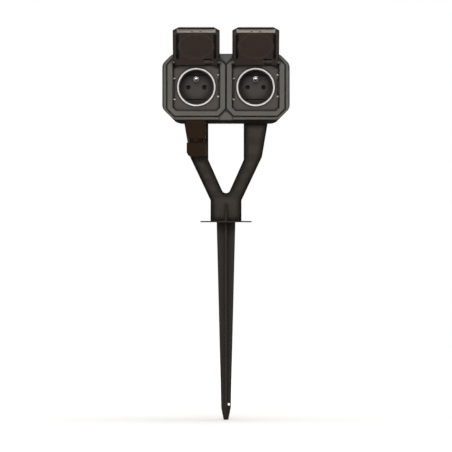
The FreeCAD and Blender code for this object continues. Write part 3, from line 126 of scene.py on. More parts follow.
def mouldedPlastic(name, look):  # one plastic, in layers from its flow to painted shade and highlight
    material, tree = newMaterial(name)
    place = addNode(tree, "ShaderNodeTexCoord").outputs["Object"]
    grain, flow = [addNode(tree, "ShaderNodeTexNoise", {"Vector": place, "Scale": 1 / (size * mm),
                                                        "Detail": detail}).outputs["Fac"]
                   for size, detail in ((look["grain"], 3.0), (look["flow"], 2.0))]

    # Normals: flat, softened over the edges, and rolled over as wide as the moulding's shading goes
    flat = addNode(tree, "ShaderNodeNewGeometry").outputs["True Normal"]
    soft, rolled = [addNode(tree, "ShaderNodeBevel", {"Radius": radius * mm}, samples=6).outputs[0]
                    for radius in (look["edgeRadius"], look["rollOver"])]
    rolled = addNode(tree, "ShaderNodeVectorTransform", {0: rolled}, vector_type="NORMAL",
                     convert_from="WORLD", convert_to="OBJECT").outputs[0]

    # What each layer goes by: how far a normal turns, and how closed in the place is
    cues = {layer: addNode(tree, "ShaderNodeVectorMath", {0: first, 1: second},
                           operation="DOT_PRODUCT").outputs["Value"]
            for layer, first, second in (("flank", rolled, look["front"]),
                                         ("paintedHighlight", rolled, look["paintedHighlightTowards"]),
                                         ("edge", soft, flat))}
    cues["flank"] = addNode(tree, "ShaderNodeMath", {0: cues["flank"]}, operation="ABSOLUTE").outputs[0]
    cues["corner"] = addNode(tree, "ShaderNodeAmbientOcclusion", {"Distance": look["cornerReach"] * mm},
                             samples=8).outputs["AO"]

    colour = addNode(tree, "ShaderNodeMix", {"Factor": flow, 6: linear(look["colour"]),
                                             7: linear(look["shade"])}, data_type="RGBA").outputs[2]
    # Painted shade: flank where a surface turns from the front, corner where the place is closed in
    shares = {}
    # Painted highlight: paintedHighlight on faces turned its way, edge on edges together with rubbed wear
    for layer, tint in {"flank": "flankShadeColour", "paintedHighlight": "wearAndHighlightColour",
                        "edge": "wearAndHighlightColour", "corner": "cornerShadeColour"}.items():
        start, full = look[layer + "Range"]
        shares[layer] = addNode(tree, "ShaderNodeMapRange", {
            "Value": cues[layer], "From Min": start, "From Max": full,
            "To Min": 0.0, "To Max": look[layer + "Share"]}).outputs["Result"]
        colour = addNode(tree, "ShaderNodeMix", {"Factor": shares[layer], 6: colour, 7: linear(look[tint])},
                         data_type="RGBA").outputs[2]

    rough, bump = roughAndBump(tree, look, grain, soft)
    rough = addNode(tree, "ShaderNodeMath", {0: shares["flank"], 1: look["flankMatt"], 2: rough},
                    operation="MULTIPLY_ADD").outputs[0]
    shader = addNode(tree, "ShaderNodeBsdfPrincipled", {
        "Base Color": colour, "Roughness": rough, "Normal": bump,
        "IOR": look["ior"], "Specular IOR Level": look["specular"]})
    addNode(tree, "ShaderNodeOutputMaterial", {"Surface": shader.outputs[0]})
    return material


# Sizes are in mm. Flow, the slow drift of a moulding's tone, has its real width. The grain of a spark-eroded
# tool is about 0.1 mm wide, too fine for the picture, so it is drawn 0.4 to 1 mm wide to show. A range says
# where a layer starts and where it is full: for flank, paintedHighlight and edge by the cosine between two
# normals, for corner by how open the place is. Flank and corner are painted shade, paintedHighlight is
# painted highlight, and edge is rubbed wear together with painted highlight.
plainPlastic = {
    "specular": 0.25, "roughness": 0.5, "roughnessDrift": 0.05, "depth": 0.05, "bump": 0.35,
    # Edge: pale edges, partly rubbed wear and partly painted highlight
    "edgeRadius": 0.45, "edgeRange": (0.98, 0.80),
    "rollOver": 0.3, "front": (0, -1, 0), "flankShadeColour": "#000000", "flankShare": 0.0,
    "flankRange": (0.85, 0.5), "flankMatt": 0.0,
    "paintedHighlightTowards": (0, 0, 1), "paintedHighlightShare": 0.0, "paintedHighlightRange": (0.85, 0.97),
    # Corner: painted shade in closed-in places, on every plastic whose look does not set its share lower
    "cornerShadeColour": "#0f0d0b", "cornerShare": 0.85, "cornerReach": 3.5, "cornerRange": (0.9, 0.45),
}
plasticLooks = {
    # ABS, injection-moulded: even dull charcoal, edges pale from rubbing and painted highlight,
    # a faint painted highlight on faces turned up, painted shade on its flanks and in its corners
    "mouldedAbsCover": {
        "ior": 1.54, "specular": 0.09, "colour": "#65625c", "shade": "#5e5b56", "grain": 0.9, "flow": 14,
        "wearAndHighlightColour": "#b0aca3", "edgeShare": 0.6, "edgeRadius": 0.5, "paintedHighlightShare": 0.12,
        "flankShadeColour": "#0f0c0a", "flankShare": 0.97, "flankRange": (0.985, 0.89), "rollOver": 1.4,
        "flankMatt": 0.45,
    },
    # ABS, injection-moulded: the cover's grain in a darker copy, painted shade where the housing shows
    # under the bezel, with painted shade on its flanks like the cover's
    "mouldedAbsHousing": {
        "ior": 1.54, "specular": 0.08, "colour": "#3d3935", "shade": "#383430", "grain": 0.9, "flow": 14,
        "wearAndHighlightColour": "#504c46", "edgeShare": 0.6,
        "flankShadeColour": "#161310", "flankShare": 0.97, "flankRange": (0.985, 0.89),
    },
    # Polyamide, injection-moulded: a closer grain, a step darker than the cover, with painted shade on its
    # flanks and in its corners
    "mouldedPolyamideInsert": {
        "ior": 1.53, "specular": 0.12, "colour": "#534c47", "shade": "#4d4642", "grain": 0.8, "flow": 11,
        "wearAndHighlightColour": "#8d8983", "edgeShare": 0.6, "flankShadeColour": "#2c2825", "flankShare": 0.8,
        "cornerShare": 0.95, "cornerReach": 4.0, "cornerRange": (0.95, 0.55),
    },
    # Polyamide, injection-moulded: a darker copy of the insert's, with painted shade deep into the wells,
    # so the walls fall off to near black
    "mouldedPolyamideWell": {
        "ior": 1.53, "specular": 0.1, "colour": "#494540", "shade": "#433f3b", "grain": 0.8, "flow": 11,
        "wearAndHighlightColour": "#7a7670", "edgeShare": 0.3, "flankShadeColour": "#1c1916", "flankShare": 0.9,
        "cornerShadeColour": "#221d19", "cornerShare": 0.97, "cornerReach": 12.0, "cornerRange": (0.96, 0.6),
    },
    # Polypropylene, injection-moulded in a smoother tool: brown-black, softly shining, with a painted
    # highlight on its lip's end, edges pale from rubbing and painted highlight, and painted shade on its
    # sides and in its corners
    "mouldedPolypropyleneLid": {
        "ior": 1.49, "specular": 0.12, "roughness": 0.42, "colour": "#382d28", "shade": "#342924",
        "grain": 0.8, "flow": 12, "wearAndHighlightColour": "#968f87", "edgeShare": 0.55,
        "paintedHighlightTowards": (0, -0.695, 0.719), "paintedHighlightShare": 0.92,
        "flankShadeColour": "#0d0a08", "flankShare": 0.9, "flankRange": (0.55, 0.3), "flankMatt": 0.5,
        "cornerShadeColour": "#0f0b09", "cornerShare": 0.95, "cornerReach": 8.0, "cornerRange": (0.93, 0.6),
    },
    # ABS, injection-moulded thick: long roll-overs at its sides, where painted shade falls off to black
    "mouldedAbsFork": {
        "ior": 1.54, "specular": 0.08, "colour": "#3a342e", "shade": "#37312b", "grain": 1.0, "flow": 18,
        "wearAndHighlightColour": "#57524b", "edgeShare": 0.4,
        "flankShadeColour": "#0f0c09", "flankShare": 0.97, "flankRange": (0.998, 0.945), "rollOver": 8.5,
        "flankMatt": 0.4,
    },
    # ABS, injection-moulded: fins with painted highlight along their edges, painted shade on their flanks
    # and in their corners
    "mouldedAbsSpike": {
        "ior": 1.54, "specular": 0.13, "colour": "#28201b", "shade": "#211b16", "grain": 1.0, "flow": 18,
        "wearAndHighlightColour": "#635e58", "edgeShare": 0.7, "flankShadeColour": "#0f0c09", "flankShare": 0.5,
        "flankMatt": 0.4, "cornerReach": 8.0,
    },
    # Polyamide, injection-moulded in a rough tool: the dullest and brownest surface, with painted shade
    # that goes to near black in its corners
    "mouldedPolyamideGland": {
        "ior": 1.53, "specular": 0.05, "roughness": 0.6, "colour": "#281b0f", "shade": "#23170c",
        "grain": 0.9, "flow": 9, "wearAndHighlightColour": "#3a3128", "edgeShare": 0.4, "cornerShare": 1.0,
    },
    # Acetal, injection-moulded: small pale noses with a waxy gleam
    "mouldedAcetalNose": {
        "ior": 1.48, "roughness": 0.35, "colour": "#cfcbc4", "shade": "#c6c2bb", "grain": 0.4, "flow": 5,
        "wearAndHighlightColour": "#dcd8d1", "edgeShare": 0.2,
    },
    # Urea resin, compression-moulded: plain mid grey, dense and slightly cloudy, with light painted shade
    # in its corners
    "mouldedUreaCarrier": {
        "ior": 1.54, "colour": "#6e6c69", "shade": "#686663", "grain": 0.7, "flow": 8,
        "wearAndHighlightColour": "#85837f", "edgeShare": 0.2, "cornerShare": 0.4,
    },
    # Polyamide, injection-moulded: near black, so the contact holes look empty
    "mouldedPolyamideShutter": {
        "ior": 1.53, "specular": 0.08, "colour": "#1a1918", "shade": "#171615", "grain": 0.6, "flow": 6,
        "wearAndHighlightColour": "#2b2a29", "edgeShare": 0.2,
    },
    # Polycarbonate, moulded in a polished tool: pale, with painted shade on the flanks of its crown,
    # so that one clean highlight stays along its crest
    "polishedPolycarbonateCollar": {
        "ior": 1.58, "specular": 0.5, "roughness": 0.25, "depth": 0.008, "colour": "#e2deda",
        "shade": "#dad6d2", "grain": 0.5, "flow": 7, "wearAndHighlightColour": "#e6e3e0", "edgeShare": 0.2,
        "flankShadeColour": "#4b4845", "flankShare": 0.9, "flankRange": (0.97, 0.72), "cornerShare": 0.0,
    },
}


def mouldedRubber(name, look):
    material, tree = newMaterial(name)
    place = addNode(tree, "ShaderNodeTexCoord").outputs["Object"]
    bloom = addNode(tree, "ShaderNodeTexNoise", {"Vector": place, "Scale": 1 / (look["bloom"] * mm),
                                                 "Detail": 3.0}).outputs["Fac"]
    colour = addNode(tree, "ShaderNodeMix", {"Factor": bloom, 6: linear(look["colour"]),
                                             7: linear(look["bloomColour"])}, data_type="RGBA").outputs[2]
    rough, bump = roughAndBump(tree, look, bloom)
    shader = addNode(tree, "ShaderNodeBsdfPrincipled", {
        "Base Color": colour, "Roughness": rough, "Normal": bump,
        "IOR": look["ior"], "Specular IOR Level": look["specular"]})
    addNode(tree, "ShaderNodeOutputMaterial", {"Surface": shader.outputs[0]})
    return material


# EPDM, compression-moulded: dull brown-black, with the 3 mm patches of bloom that such rubber sweats out
rubberLook = {"ior": 1.48, "specular": 0.2, "roughness": 0.75, "roughnessDrift": 0.05, "depth": 0.03,
              "bump": 0.3, "colour": "#372b26", "bloomColour": "#3d312c", "bloom": 3.0}


def workedMetal(name, look):  # metal with the streaks that its making left, and painted shade underneath
    material, tree = newMaterial(name)
    place = addNode(tree, "ShaderNodeTexCoord")
    stretched = addNode(tree, "ShaderNodeMapping", {"Vector": place.outputs["Object"],
                                                    "Scale": look["along"]}).outputs[0]
    streak = addNode(tree, "ShaderNodeTexNoise", {"Vector": stretched, "Scale": 1 / (look["streak"] * mm),
                                                  "Detail": 4.0}).outputs["Fac"]
    # Painted shade on faces that turn to the ground, by the object's normal
    height = addNode(tree, "ShaderNodeSeparateXYZ", {0: place.outputs["Normal"]}).outputs["Z"]
    start, full = look["undersideShadeRange"]
    below = addNode(tree, "ShaderNodeMapRange", {
        "Value": height, "From Min": start, "From Max": full,
        "To Min": 0.0, "To Max": look["undersideShadeShare"]}).outputs["Result"]
    colour = addNode(tree, "ShaderNodeMix", {"Factor": streak, 6: linear(look["colour"]),
                                             7: linear(look["shade"])}, data_type="RGBA").outputs[2]
    colour = addNode(tree, "ShaderNodeMix", {"Factor": below, 6: colour, 7: linear(look["undersideShadeColour"])},
                     data_type="RGBA").outputs[2]
    rough, bump = roughAndBump(tree, look, streak)
    shader = addNode(tree, "ShaderNodeBsdfPrincipled", {
        "Base Color": colour, "Roughness": rough, "Normal": bump, "Metallic": 1.0})
    addNode(tree, "ShaderNodeOutputMaterial", {"Surface": shader.outputs[0]})
    return material


# Streaks are in mm. Drawing marks, rolling marks and a plating's crystals are about 0.05 mm wide, so they are
# drawn 0.3 to 0.5 mm wide to show. The smaller an axis' share in "along", the longer they are along it.
# undersideShade is painted shade on faces turned to the ground, off unless a look sets its share
plainMetal = {"along": (1, 1, 1), "depth": 0.01, "bump": 0.3, "roughnessDrift": 0.06,
              "undersideShadeColour": "#2b2724", "undersideShadeShare": 0.0, "undersideShadeRange": (0.1, -0.15)}
metalLooks = {
    # Steel, cold-headed and zinc plated: bright blue-white, cloudy
    "zincPlatedSteel": {"colour": "#a9abad", "shade": "#8f9194", "streak": 0.5, "roughness": 0.34},
    # Steel, cold-headed and blackened: brown-black with a low gleam, lost against the clamp
    "blackenedSteel": {"colour": "#37322d", "shade": "#2b2723", "streak": 0.5, "roughness": 0.42},
    # Spring steel, drawn and oiled: grey wire with a thin bright line along each turn
    "drawnSpringSteel": {"colour": "#46413d", "shade": "#383430", "streak": 0.4, "roughness": 0.28},
    # Brass, turned and nickel plated: bright on top, with painted shade where it faces the ground
    "nickelPlatedBrass": {"colour": "#f1eeea", "shade": "#e2dfda", "streak": 0.3, "roughness": 0.2,
                          "along": (1, 0.2, 1), "depth": 0.005, "undersideShadeShare": 0.95},
    # Brass, stamped from strip: yellow, with rolling streaks along the bar
    "stampedBrass": {"colour": "#c39a4e", "shade": "#a98545", "streak": 0.4, "roughness": 0.32,
                     "along": (0.2, 1, 1)},
}

materials = {name: mouldedPlastic(name, plainPlastic | look) for name, look in plasticLooks.items()}
materials["mouldedEpdm"] = mouldedRubber("mouldedEpdm", rubberLook)
materials.update({name: workedMetal(name, plainMetal | look) for name, look in metalLooks.items()})
finishOfSlot = {
    "head_plastic": "mouldedAbsCover", "insert_plastic": "mouldedPolyamideInsert",
    "lid_plastic": "mouldedPolypropyleneLid", "fork_plastic": "mouldedAbsFork",
    "gland_plastic": "mouldedPolyamideGland", "collar_plastic": "polishedPolycarbonateCollar",
    "shutter_plastic": "mouldedPolyamideShutter", "carrier_plastic": "mouldedUreaCarrier",
    "seal_rubber": "mouldedEpdm", "screw_steel": "zincPlatedSteel", "spring_steel": "drawnSpringSteel",
    "pin_nickel": "nickelPlatedBrass", "contact_brass": "stampedBrass",
}
finishOfNode = {
    "hinge_pin_left": "drawnSpringSteel", "hinge_pin_right": "drawnSpringSteel",
    "rear_housing": "mouldedAbsHousing", "spike": "mouldedAbsSpike",
    "socket_floor_left": "mouldedPolyamideWell", "socket_floor_right": "mouldedPolyamideWell",
    "socket_well_left": "mouldedPolyamideWell", "socket_well_right": "mouldedPolyamideWell",
}
for part in frame["record"]["subparts"]:
    slots = frame["nodes"][part["node"]].data.materials
    slots.clear()
    slots.append(materials[finishOfNode.get(part["node"], finishOfSlot[part["material_slot"]])])
print("materials made")

# Rounded edges of the mouldings that keep their CAD shape
edgeRounding = {
    "weld": 0.002,     # mm, joins the doubled points of the CAD mesh
    "flatAngle": 1,    # degrees, faces that turn less than this become one
    "sharpAngle": 35,  # degrees, edges sharper than this are rounded
    "steps": 3,
    "widths": {        # mm
        "front_cover": 0.45, "rear_housing": 0.5, "fork": 0.4, "spike": 0.3,
        "cable_gland": 0.4, "cable_clamp": 0.5, "lid_left": 0.35, "lid_right": 0.35,
        "socket_insert_left": 0.35, "socket_insert_right": 0.35,
        "socket_floor_left": 0.25, "socket_floor_right": 0.25,
        "socket_well_left": 0.3, "socket_well_right": 0.3,
    },
}


def roundEdges(node, width, look):
    weld = node.modifiers.new("weld", "WELD")
    weld.merge_threshold = look["weld"] * mm
    flat = node.modifiers.new("flat", "DECIMATE")
    flat.decimate_type = "DISSOLVE"
    flat.angle_limit = math.radians(look["flatAngle"])
    bevel = node.modifiers.new("bevel", "BEVEL")
    bevel.width = width * mm
    bevel.segments = look["steps"]
    bevel.limit_method = "ANGLE"
    bevel.angle_limit = math.radians(look["sharpAngle"])
    bevel.harden_normals = True


for name, width in edgeRounding["widths"].items():
    roundEdges(frame["nodes"][name], width, edgeRounding)
print("edges rounded")

# Where the CAD has the sockets and the lids' hinges, in mm and degrees
sockets = {"left": -35.5, "right": 35.5}
socketHeight = 161.8
lidHinge = {"forward": 31.5, "height": 191.4, "openAngle": 136.0}


def addPiece(name, mesh, finish, body=None):  # a piece that gets no body here is left unattached
    piece = bpy.data.objects.new(name, mesh)
    bpy.context.scene.collection.objects.link(piece)
    mesh.materials.clear()
    mesh.materials.append(materials[finish])
    if body:
        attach(piece, body)
    return piece


def smoothMesh(name, shape):  # a mesh from a bmesh, which is freed
    for face in shape.faces:
        face.smooth = True
    mesh = bpy.data.meshes.new(name)
    shape.to_mesh(mesh)
    shape.free()
    return mesh


# Turns (radius, height) points about Z, then places the form by a matrix
def lathe(name, profile, place, steps=96, closed=False):
    shape = bmesh.new()
    rings = []
    for radius, height in profile:
        if radius < 1e-6:  # a point on the axis
            rings.append([shape.verts.new((0, 0, height * mm))])
            continue
        rings.append([shape.verts.new((radius * mm * math.cos(2 * math.pi * i / steps),
                                       radius * mm * math.sin(2 * math.pi * i / steps), height * mm))
                      for i in range(steps)])
    pairs = list(zip(rings, rings[1:])) + ([(rings[-1], rings[0])] if closed else [])
    for low, high in pairs:
        for i in range(steps):
            j = (i + 1) % steps
            corners = [low[i % len(low)], low[j % len(low)], high[j % len(high)], high[i % len(high)]]
            shape.faces.new(list(dict.fromkeys(corners)))
    bmesh.ops.recalc_face_normals(shape, faces=shape.faces)
    bmesh.ops.transform(shape, matrix=place, verts=shape.verts)
    return smoothMesh(name, shape)


# (radius, height) corners, each rounded by its own radius
def roundedProfile(corners, radii, steps=5):
    points = []
    for index, (corner, radius) in enumerate(zip(corners, radii)):
        here = Vector(corner)
        before, after = Vector(corners[index - 1]), Vector(corners[(index + 1) % len(corners)])
        if radius <= 0:
            points.append(tuple(here))
            continue
        towards, onwards = (before - here).normalized(), (after - here).normalized()
        half = towards.angle(onwards) / 2
        reach = radius / math.tan(half)
        centre = here + (towards + onwards).normalized() * (radius / math.sin(half))
        first, last = here + towards * reach - centre, here + onwards * reach - centre
        for step in range(steps + 1):
            points.append(tuple(centre + first.lerp(last, step / steps).normalized() * radius))
    return points


def ringProfile(look, backRound, frontRound):
    return roundedProfile([(look["inner"], look["back"]), (look["outer"], look["back"]),
                           (look["outer"], look["front"]), (look["inner"], look["front"])],
                          [backRound, backRound, frontRound, frontRound])


forwards = Matrix.Rotation(math.radians(90), 4, "X")  # lays a form's height the way the sockets look


def atSocket(x, z):
    return Matrix.Translation((x * mm, 0, z * mm)) @ forwards


def atHinge(x):
    return Matrix.Translation((x * mm, -lidHinge["forward"] * mm, lidHinge["height"] * mm))


# Collar round a well: a ring with a rounded crown, mm forward of the spike's axis
collar = {"inner": 20.6, "outer": 23.5, "back": 22.8, "front": 26.0, "crown": 1.25, "foot": 0.15}


def addCollar(side, x, look):
    profile = ringProfile(look, look["foot"], look["crown"])
    mesh = lathe("socketCollar_" + side, profile, atSocket(x, socketHeight), closed=True)
    ring = addPiece("socketCollar_" + side, mesh, "polishedPolycarbonateCollar", "stand")
    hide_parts("socket_collar_" + side)


# Earth pin: a thick root in the carrier, a groove at the well's floor, and a rod with a domed tip, in mm
earthPin = {
    "rise": 10.0,                               # above the socket's middle
    "root": 3.0, "neck": 2.6, "radius": 2.4,
    "back": -19.0, "floor": 9.5, "tip": 23.5,   # forward of the spike's axis
    "groove": 0.3,
    "rootRound": 0.4, "neckRound": (0.1, 0.05, 0.1), "nose": 1.9,
    "steps": 8, "sides": 48,
}


def addEarthPin(side, x, look):
    shoulder = look["floor"] + look["groove"]
    corners = [(0, look["back"]), (look["root"], look["back"]), (look["root"], look["floor"]),
               (look["neck"], look["floor"]), (look["neck"], shoulder),
               (look["radius"], shoulder), (look["radius"], look["tip"]), (0, look["tip"])]
    rounds = [0, look["rootRound"], *look["neckRound"], 0, look["nose"], 0]
    mesh = lathe("earthPin_" + side, roundedProfile(corners, rounds, look["steps"]),
                 atSocket(x, socketHeight + look["rise"]), look["sides"])
    pin = addPiece("earthPin_" + side, mesh, "nickelPlatedBrass", "stand")
    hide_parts("earth_pin_" + side)


# Lid seal: a flat ring with a rounded lip, laid out on the closed lid, mm forward of the hinge
lidSeal = {"inner": 17.4, "outer": 21.7, "back": -5.3, "front": -0.5, "lip": 0.8, "foot": 0.1}


def addLidSeal(side, x, look):
    opened = atHinge(x) @ Matrix.Rotation(math.radians(-lidHinge["openAngle"]), 4, "X")
    drop = Matrix.Translation((0, 0, (socketHeight - lidHinge["height"]) * mm))
    profile = ringProfile(look, look["lip"], look["foot"])
    mesh = lathe("lidSeal_" + side, profile, opened @ drop @ forwards, closed=True)
    seal = addPiece("lidSeal_" + side, mesh, "mouldedEpdm", "lid_" + side)
    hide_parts("lid_seal_" + side)


for side, x in sockets.items():
    addCollar(side, x, collar)
    addEarthPin(side, x, earthPin)
    addLidSeal(side, x, lidSeal)
print("turned pieces made")

# Noses of an insert's four snap latches, in mm: how high over the socket's middle they sit on its left (-1)
# and on its right (1), how far out from it, and how far forward of the spike's axis
latchNoses = {"heights": {-1: (10.4, -14.8), 1: (14.6, -11.2)}, "out": 26.4, "forward": 23.6,
              "halfWidth": 1.6, "halfHeight": 1.05, "stand": 0.9}


def noseMesh(name, x, look):
    shape = bmesh.new()
    for hand, heights in look["heights"].items():
        for height in heights:
            nose = bmesh.ops.create_uvsphere(shape, u_segments=20, v_segments=12, radius=mm)["verts"]
            bmesh.ops.scale(shape, verts=nose, vec=(look["halfWidth"], look["stand"], look["halfHeight"]))
            middle = Vector((x + hand * look["out"], -look["forward"], socketHeight + height))
            bmesh.ops.translate(shape, verts=nose, vec=middle * mm)
    return smoothMesh(name, shape)


for side, x in sockets.items():
    mesh = noseMesh("latchNoses_" + side, x, latchNoses)
    noses = addPiece("latchNoses_" + side, mesh, "mouldedAcetalNose", "stand")
print("latch noses made")


def wireTube(name, points, radius, place):  # a round wire through points in mm, as a mesh
    line = bpy.data.curves.new(name + "Line", "CURVE")
    line.dimensions = "3D"
    spline = line.splines.new("POLY")
    spline.points.add(len(points) - 1)
    for knot, point in zip(spline.points, points):
        knot.co = (*(place @ (point * mm)), 1)
    line.bevel_depth = radius * mm
    line.bevel_resolution = 4
    line.use_fill_caps = True
    holder = bpy.data.objects.new(name + "Line", line)
    bpy.context.scene.collection.objects.link(holder)
    mesh = bpy.data.meshes.new_from_object(holder.evaluated_get(bpy.context.evaluated_depsgraph_get()))
    mesh.name = name
    bpy.data.objects.remove(holder)
    bpy.data.curves.remove(line)
    for face in mesh.polygons:
        face.use_smooth = True
    return mesh


# Lid spring: a torsion spring round the hinge pin, seen through the window at the lid's root
lidSpring = {
    "coilRadius": 2.25, "wireRadius": 0.5, "pitch": 1.6, "turns": 5, "stepsPerTurn": 28,
    "firstLeg": 10.6, "secondLeg": 13.0,
    "legPoints": (0.2, 0.6, 1.0),  # as shares of a leg
    "windowMiddle": 14.3,          # mm from the socket's middle
    "blendInset": 0.6,             # mm from the coil's ends to where its turning starts and stops
}


def springPath(look):  # from the leg on the recess floor round the pin to the leg on the open lid
    first = math.pi / 2
    last = 2 * math.pi * look["turns"] + math.pi - math.radians(lidHinge["openAngle"])
    along = look["pitch"] / (2 * math.pi)
    width = along * (last - first)
    steps = look["stepsPerTurn"] * look["turns"]

    def onCoil(angle):
        return Vector((along * (angle - first) + look["windowMiddle"] - width / 2,
                       look["coilRadius"] * math.cos(angle), look["coilRadius"] * math.sin(angle)))

    def heading(angle):
        return Vector((0, -math.sin(angle), math.cos(angle)))

    coil = [onCoil(first + (last - first) * step / steps) for step in range(steps + 1)]
    legIn = [coil[0] - heading(first) * look["firstLeg"] * part for part in reversed(look["legPoints"])]
    legOut = [coil[-1] + heading(last) * look["secondLeg"] * part for part in look["legPoints"]]
    return legIn + coil + legOut, width


for side, x in sockets.items():
    points, width = springPath(lidSpring)
    mesh = wireTube("lidSpring_" + side, points, lidSpring["wireRadius"], atHinge(x))
    spring = addPiece("lidSpring_" + side, mesh, "drawnSpringSteel")
    axis = (-lidHinge["forward"] * mm, lidHinge["height"] * mm)
    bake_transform(spring)
    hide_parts("lid_spring_" + side)

# Shutter spring: a compression spring with closed ends, squashed by the shutter's travel
shutterSpring = {
    "coilRadius": 1.33, "wireRadius": 0.32, "turns": 8, "closedTurns": 1.2, "stepsPerTurn": 24,
    "closedPitch": 2.1,  # wire radii from one closed turn to the next
    "travel": 6.2,       # mm, the shutter's slide
}


def compressionPath(look, length):  # up along Z from the middle of the spring's foot
    total, closed = look["turns"], look["closedTurns"]
    wire = look["closedPitch"] * look["wireRadius"]
    openPitch = (length - wire - 2 * closed * wire) / (total - 2 * closed)
    points = []
    for step in range(look["stepsPerTurn"] * total + 1):
        turn = step / look["stepsPerTurn"]
        low, high = min(turn, closed), max(turn - total + closed, 0)
        middle = turn - low - high
        angle = 2 * math.pi * turn
        points.append(Vector((look["coilRadius"] * math.cos(angle), look["coilRadius"] * math.sin(angle),
                              wire / 2 + (low + high) * wire + middle * openPitch)))
    return points


for side in sockets:
    low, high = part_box("shutter_spring_" + side)
    foot = (low[0] / 2 + high[0] / 2, low[1] / 2 + high[1] / 2, low[2])
    length = (high[2] - low[2]) / mm
    mesh = wireTube("shutterSpring_" + side, compressionPath(shutterSpring, length),
                    shutterSpring["wireRadius"], Matrix.Translation(foot))
    spring = addPiece("shutterSpring_" + side, mesh, "drawnSpringSteel", "stand")
    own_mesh(spring)
    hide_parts("shutter_spring_" + side)
print("springs wound")


def looseParts(name):  # lowest and highest corner, in mm, of each solid in a CAD node
    shape = bmesh.new()
    shape.from_mesh(frame["nodes"][name].data)
    bmesh.ops.remove_doubles(shape, verts=shape.verts, dist=edgeRounding["weld"] * mm)
    left, boxes = set(shape.verts), []
    while left:
        front, group = [left.pop()], []
        while front:
            vertex = front.pop()
            group.append(vertex.co / mm)
            for edge in vertex.link_edges:
                other = edge.other_vert(vertex)
                if other in left:
                    left.remove(other)
                    front.append(other)
        boxes.append([[min(point[axis] for point in group) for axis in range(3)],
                      [max(point[axis] for point in group) for axis in range(3)]])
    shape.free()
    return sorted(boxes)


# Pan-head screws with a cross recess, in mm or as a share of another size
screwForm = {
    "tipRound": 0.6,      # of the shank's radius
    "neckRound": 0.05,    # mm, under the head
    "rimRound": 0.15,     # mm
    "crownRound": 0.6,    # of the head's height
    "steps": 6, "sides": 40,
    "recessWidth": 1.1,   # of the head's radius
    "recessDepth": 0.7,   # of the head's height
    "recessFoot": 0.45,   # of the recess' width, at its bottom
    "recessSlot": 0.2,    # of the recess' width, across one wing
    "turns": (17, 67),    # degrees that the first screw is turned, and how much more each next one
}


def recessWing(look, turn):  # one tapered wing of the cross, as a cutter that opens upwards
    width = look["headRadius"] * screwForm["recessWidth"]
    depth = look["headHeight"] * screwForm["recessDepth"]
    shape = bmesh.new()
    for vertex in bmesh.ops.create_cube(shape, size=1.0)["verts"]:
        deep = vertex.co.z < 0
        vertex.co = Vector((vertex.co.x * width * (screwForm["recessFoot"] if deep else 1.0),
                            vertex.co.y * width * screwForm["recessSlot"], -depth if deep else depth)) * mm
    bmesh.ops.rotate(shape, verts=shape.verts, matrix=Matrix.Rotation(math.radians(turn), 3, "Z"))
    mesh = bpy.data.meshes.new("recessWing")
    shape.to_mesh(mesh)
    shape.free()
    return mesh


def screwMesh(name, look, length):  # its head's seat at the origin, its tip along -Z
    head, height, shank = look["headRadius"], look["headHeight"], look["shankRadius"]
    corners = [(0, -length), (shank, -length), (shank, 0), (head, 0), (head, height), (0, height)]
    rounds = [0, shank * screwForm["tipRound"], screwForm["neckRound"], screwForm["rimRound"],
              height * screwForm["crownRound"], 0]
    turned = lathe(name + "Blank", roundedProfile(corners, rounds, screwForm["steps"]), Matrix.Identity(4),
                   screwForm["sides"])
    blank = bpy.data.objects.new(name + "Blank", turned)
    wings = [bpy.data.objects.new(name + "Wing", recessWing(look, turn)) for turn in (0, 90)]
    for item in [blank] + wings:
        bpy.context.scene.collection.objects.link(item)
    for wing in wings:
        wing.location.z = height * mm
        cut = blank.modifiers.new("recess", "BOOLEAN")
        cut.operation = "DIFFERENCE"
        cut.solver = "EXACT"
        cut.object = wing
    mesh = bpy.data.meshes.new_from_object(blank.evaluated_get(bpy.context.evaluated_depsgraph_get()))
    mesh.name = name
    for item in [blank] + wings:
        bpy.data.objects.remove(item)
    return mesh


headScrew = {"shankRadius": 1.5, "headRadius": 3.0, "headHeight": 2.0, "finish": "zincPlatedSteel"}
screwLooks = {  # by CAD node; "towards" is the way that the heads look
    "cover_screws": headScrew | {"piece": "coverScrews", "towards": (0, 1, 0)},
    "fork_screws": headScrew | {"piece": "forkScrews", "towards": (0, 0, -1)},
    "spike_screw": headScrew | {"piece": "spikeScrew", "towards": (0, 1, 0)},
    "clamp_screws": {"piece": "clampScrews", "towards": (0, 0, -1), "shankRadius": 1.3, "headRadius": 2.2,
                     "headHeight": 1.6, "finish": "blackenedSteel"},
    "terminal_screws": {"piece": "terminalScrews", "towards": (0, -1, 0), "shankRadius": 1.3,
                        "headRadius": 2.2, "headHeight": 1.4, "finish": "zincPlatedSteel"},
}
firstTurn, eachTurn = screwForm["turns"]
for name, look in screwLooks.items():
    towards = Vector(look["towards"])
    upright = towards.to_track_quat("Z", "Y").to_matrix().to_4x4()
    axis = max(range(3), key=lambda index: abs(towards[index]))
    whole = bmesh.new()
    for index, (low, high) in enumerate(looseParts(name)):
        seat = (Vector(low) + Vector(high)) / 2
        seat[axis] = (high if towards[axis] > 0 else low)[axis] - towards[axis] * look["headHeight"]
        if index == 0:
            blank = screwMesh(look["piece"], look, high[axis] - low[axis] - look["headHeight"])
        spin = Matrix.Rotation(math.radians(firstTurn + eachTurn * index), 4, "Z")
        copy = blank.copy()
        copy.transform(Matrix.Translation(seat * mm) @ upright @ spin)
        whole.from_mesh(copy)
        bpy.data.meshes.remove(copy)
    whole.to_mesh(blank)
    whole.free()
    screws = addPiece(look["piece"], blank, look["finish"], "stand")
    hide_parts(name)
print("screws made")

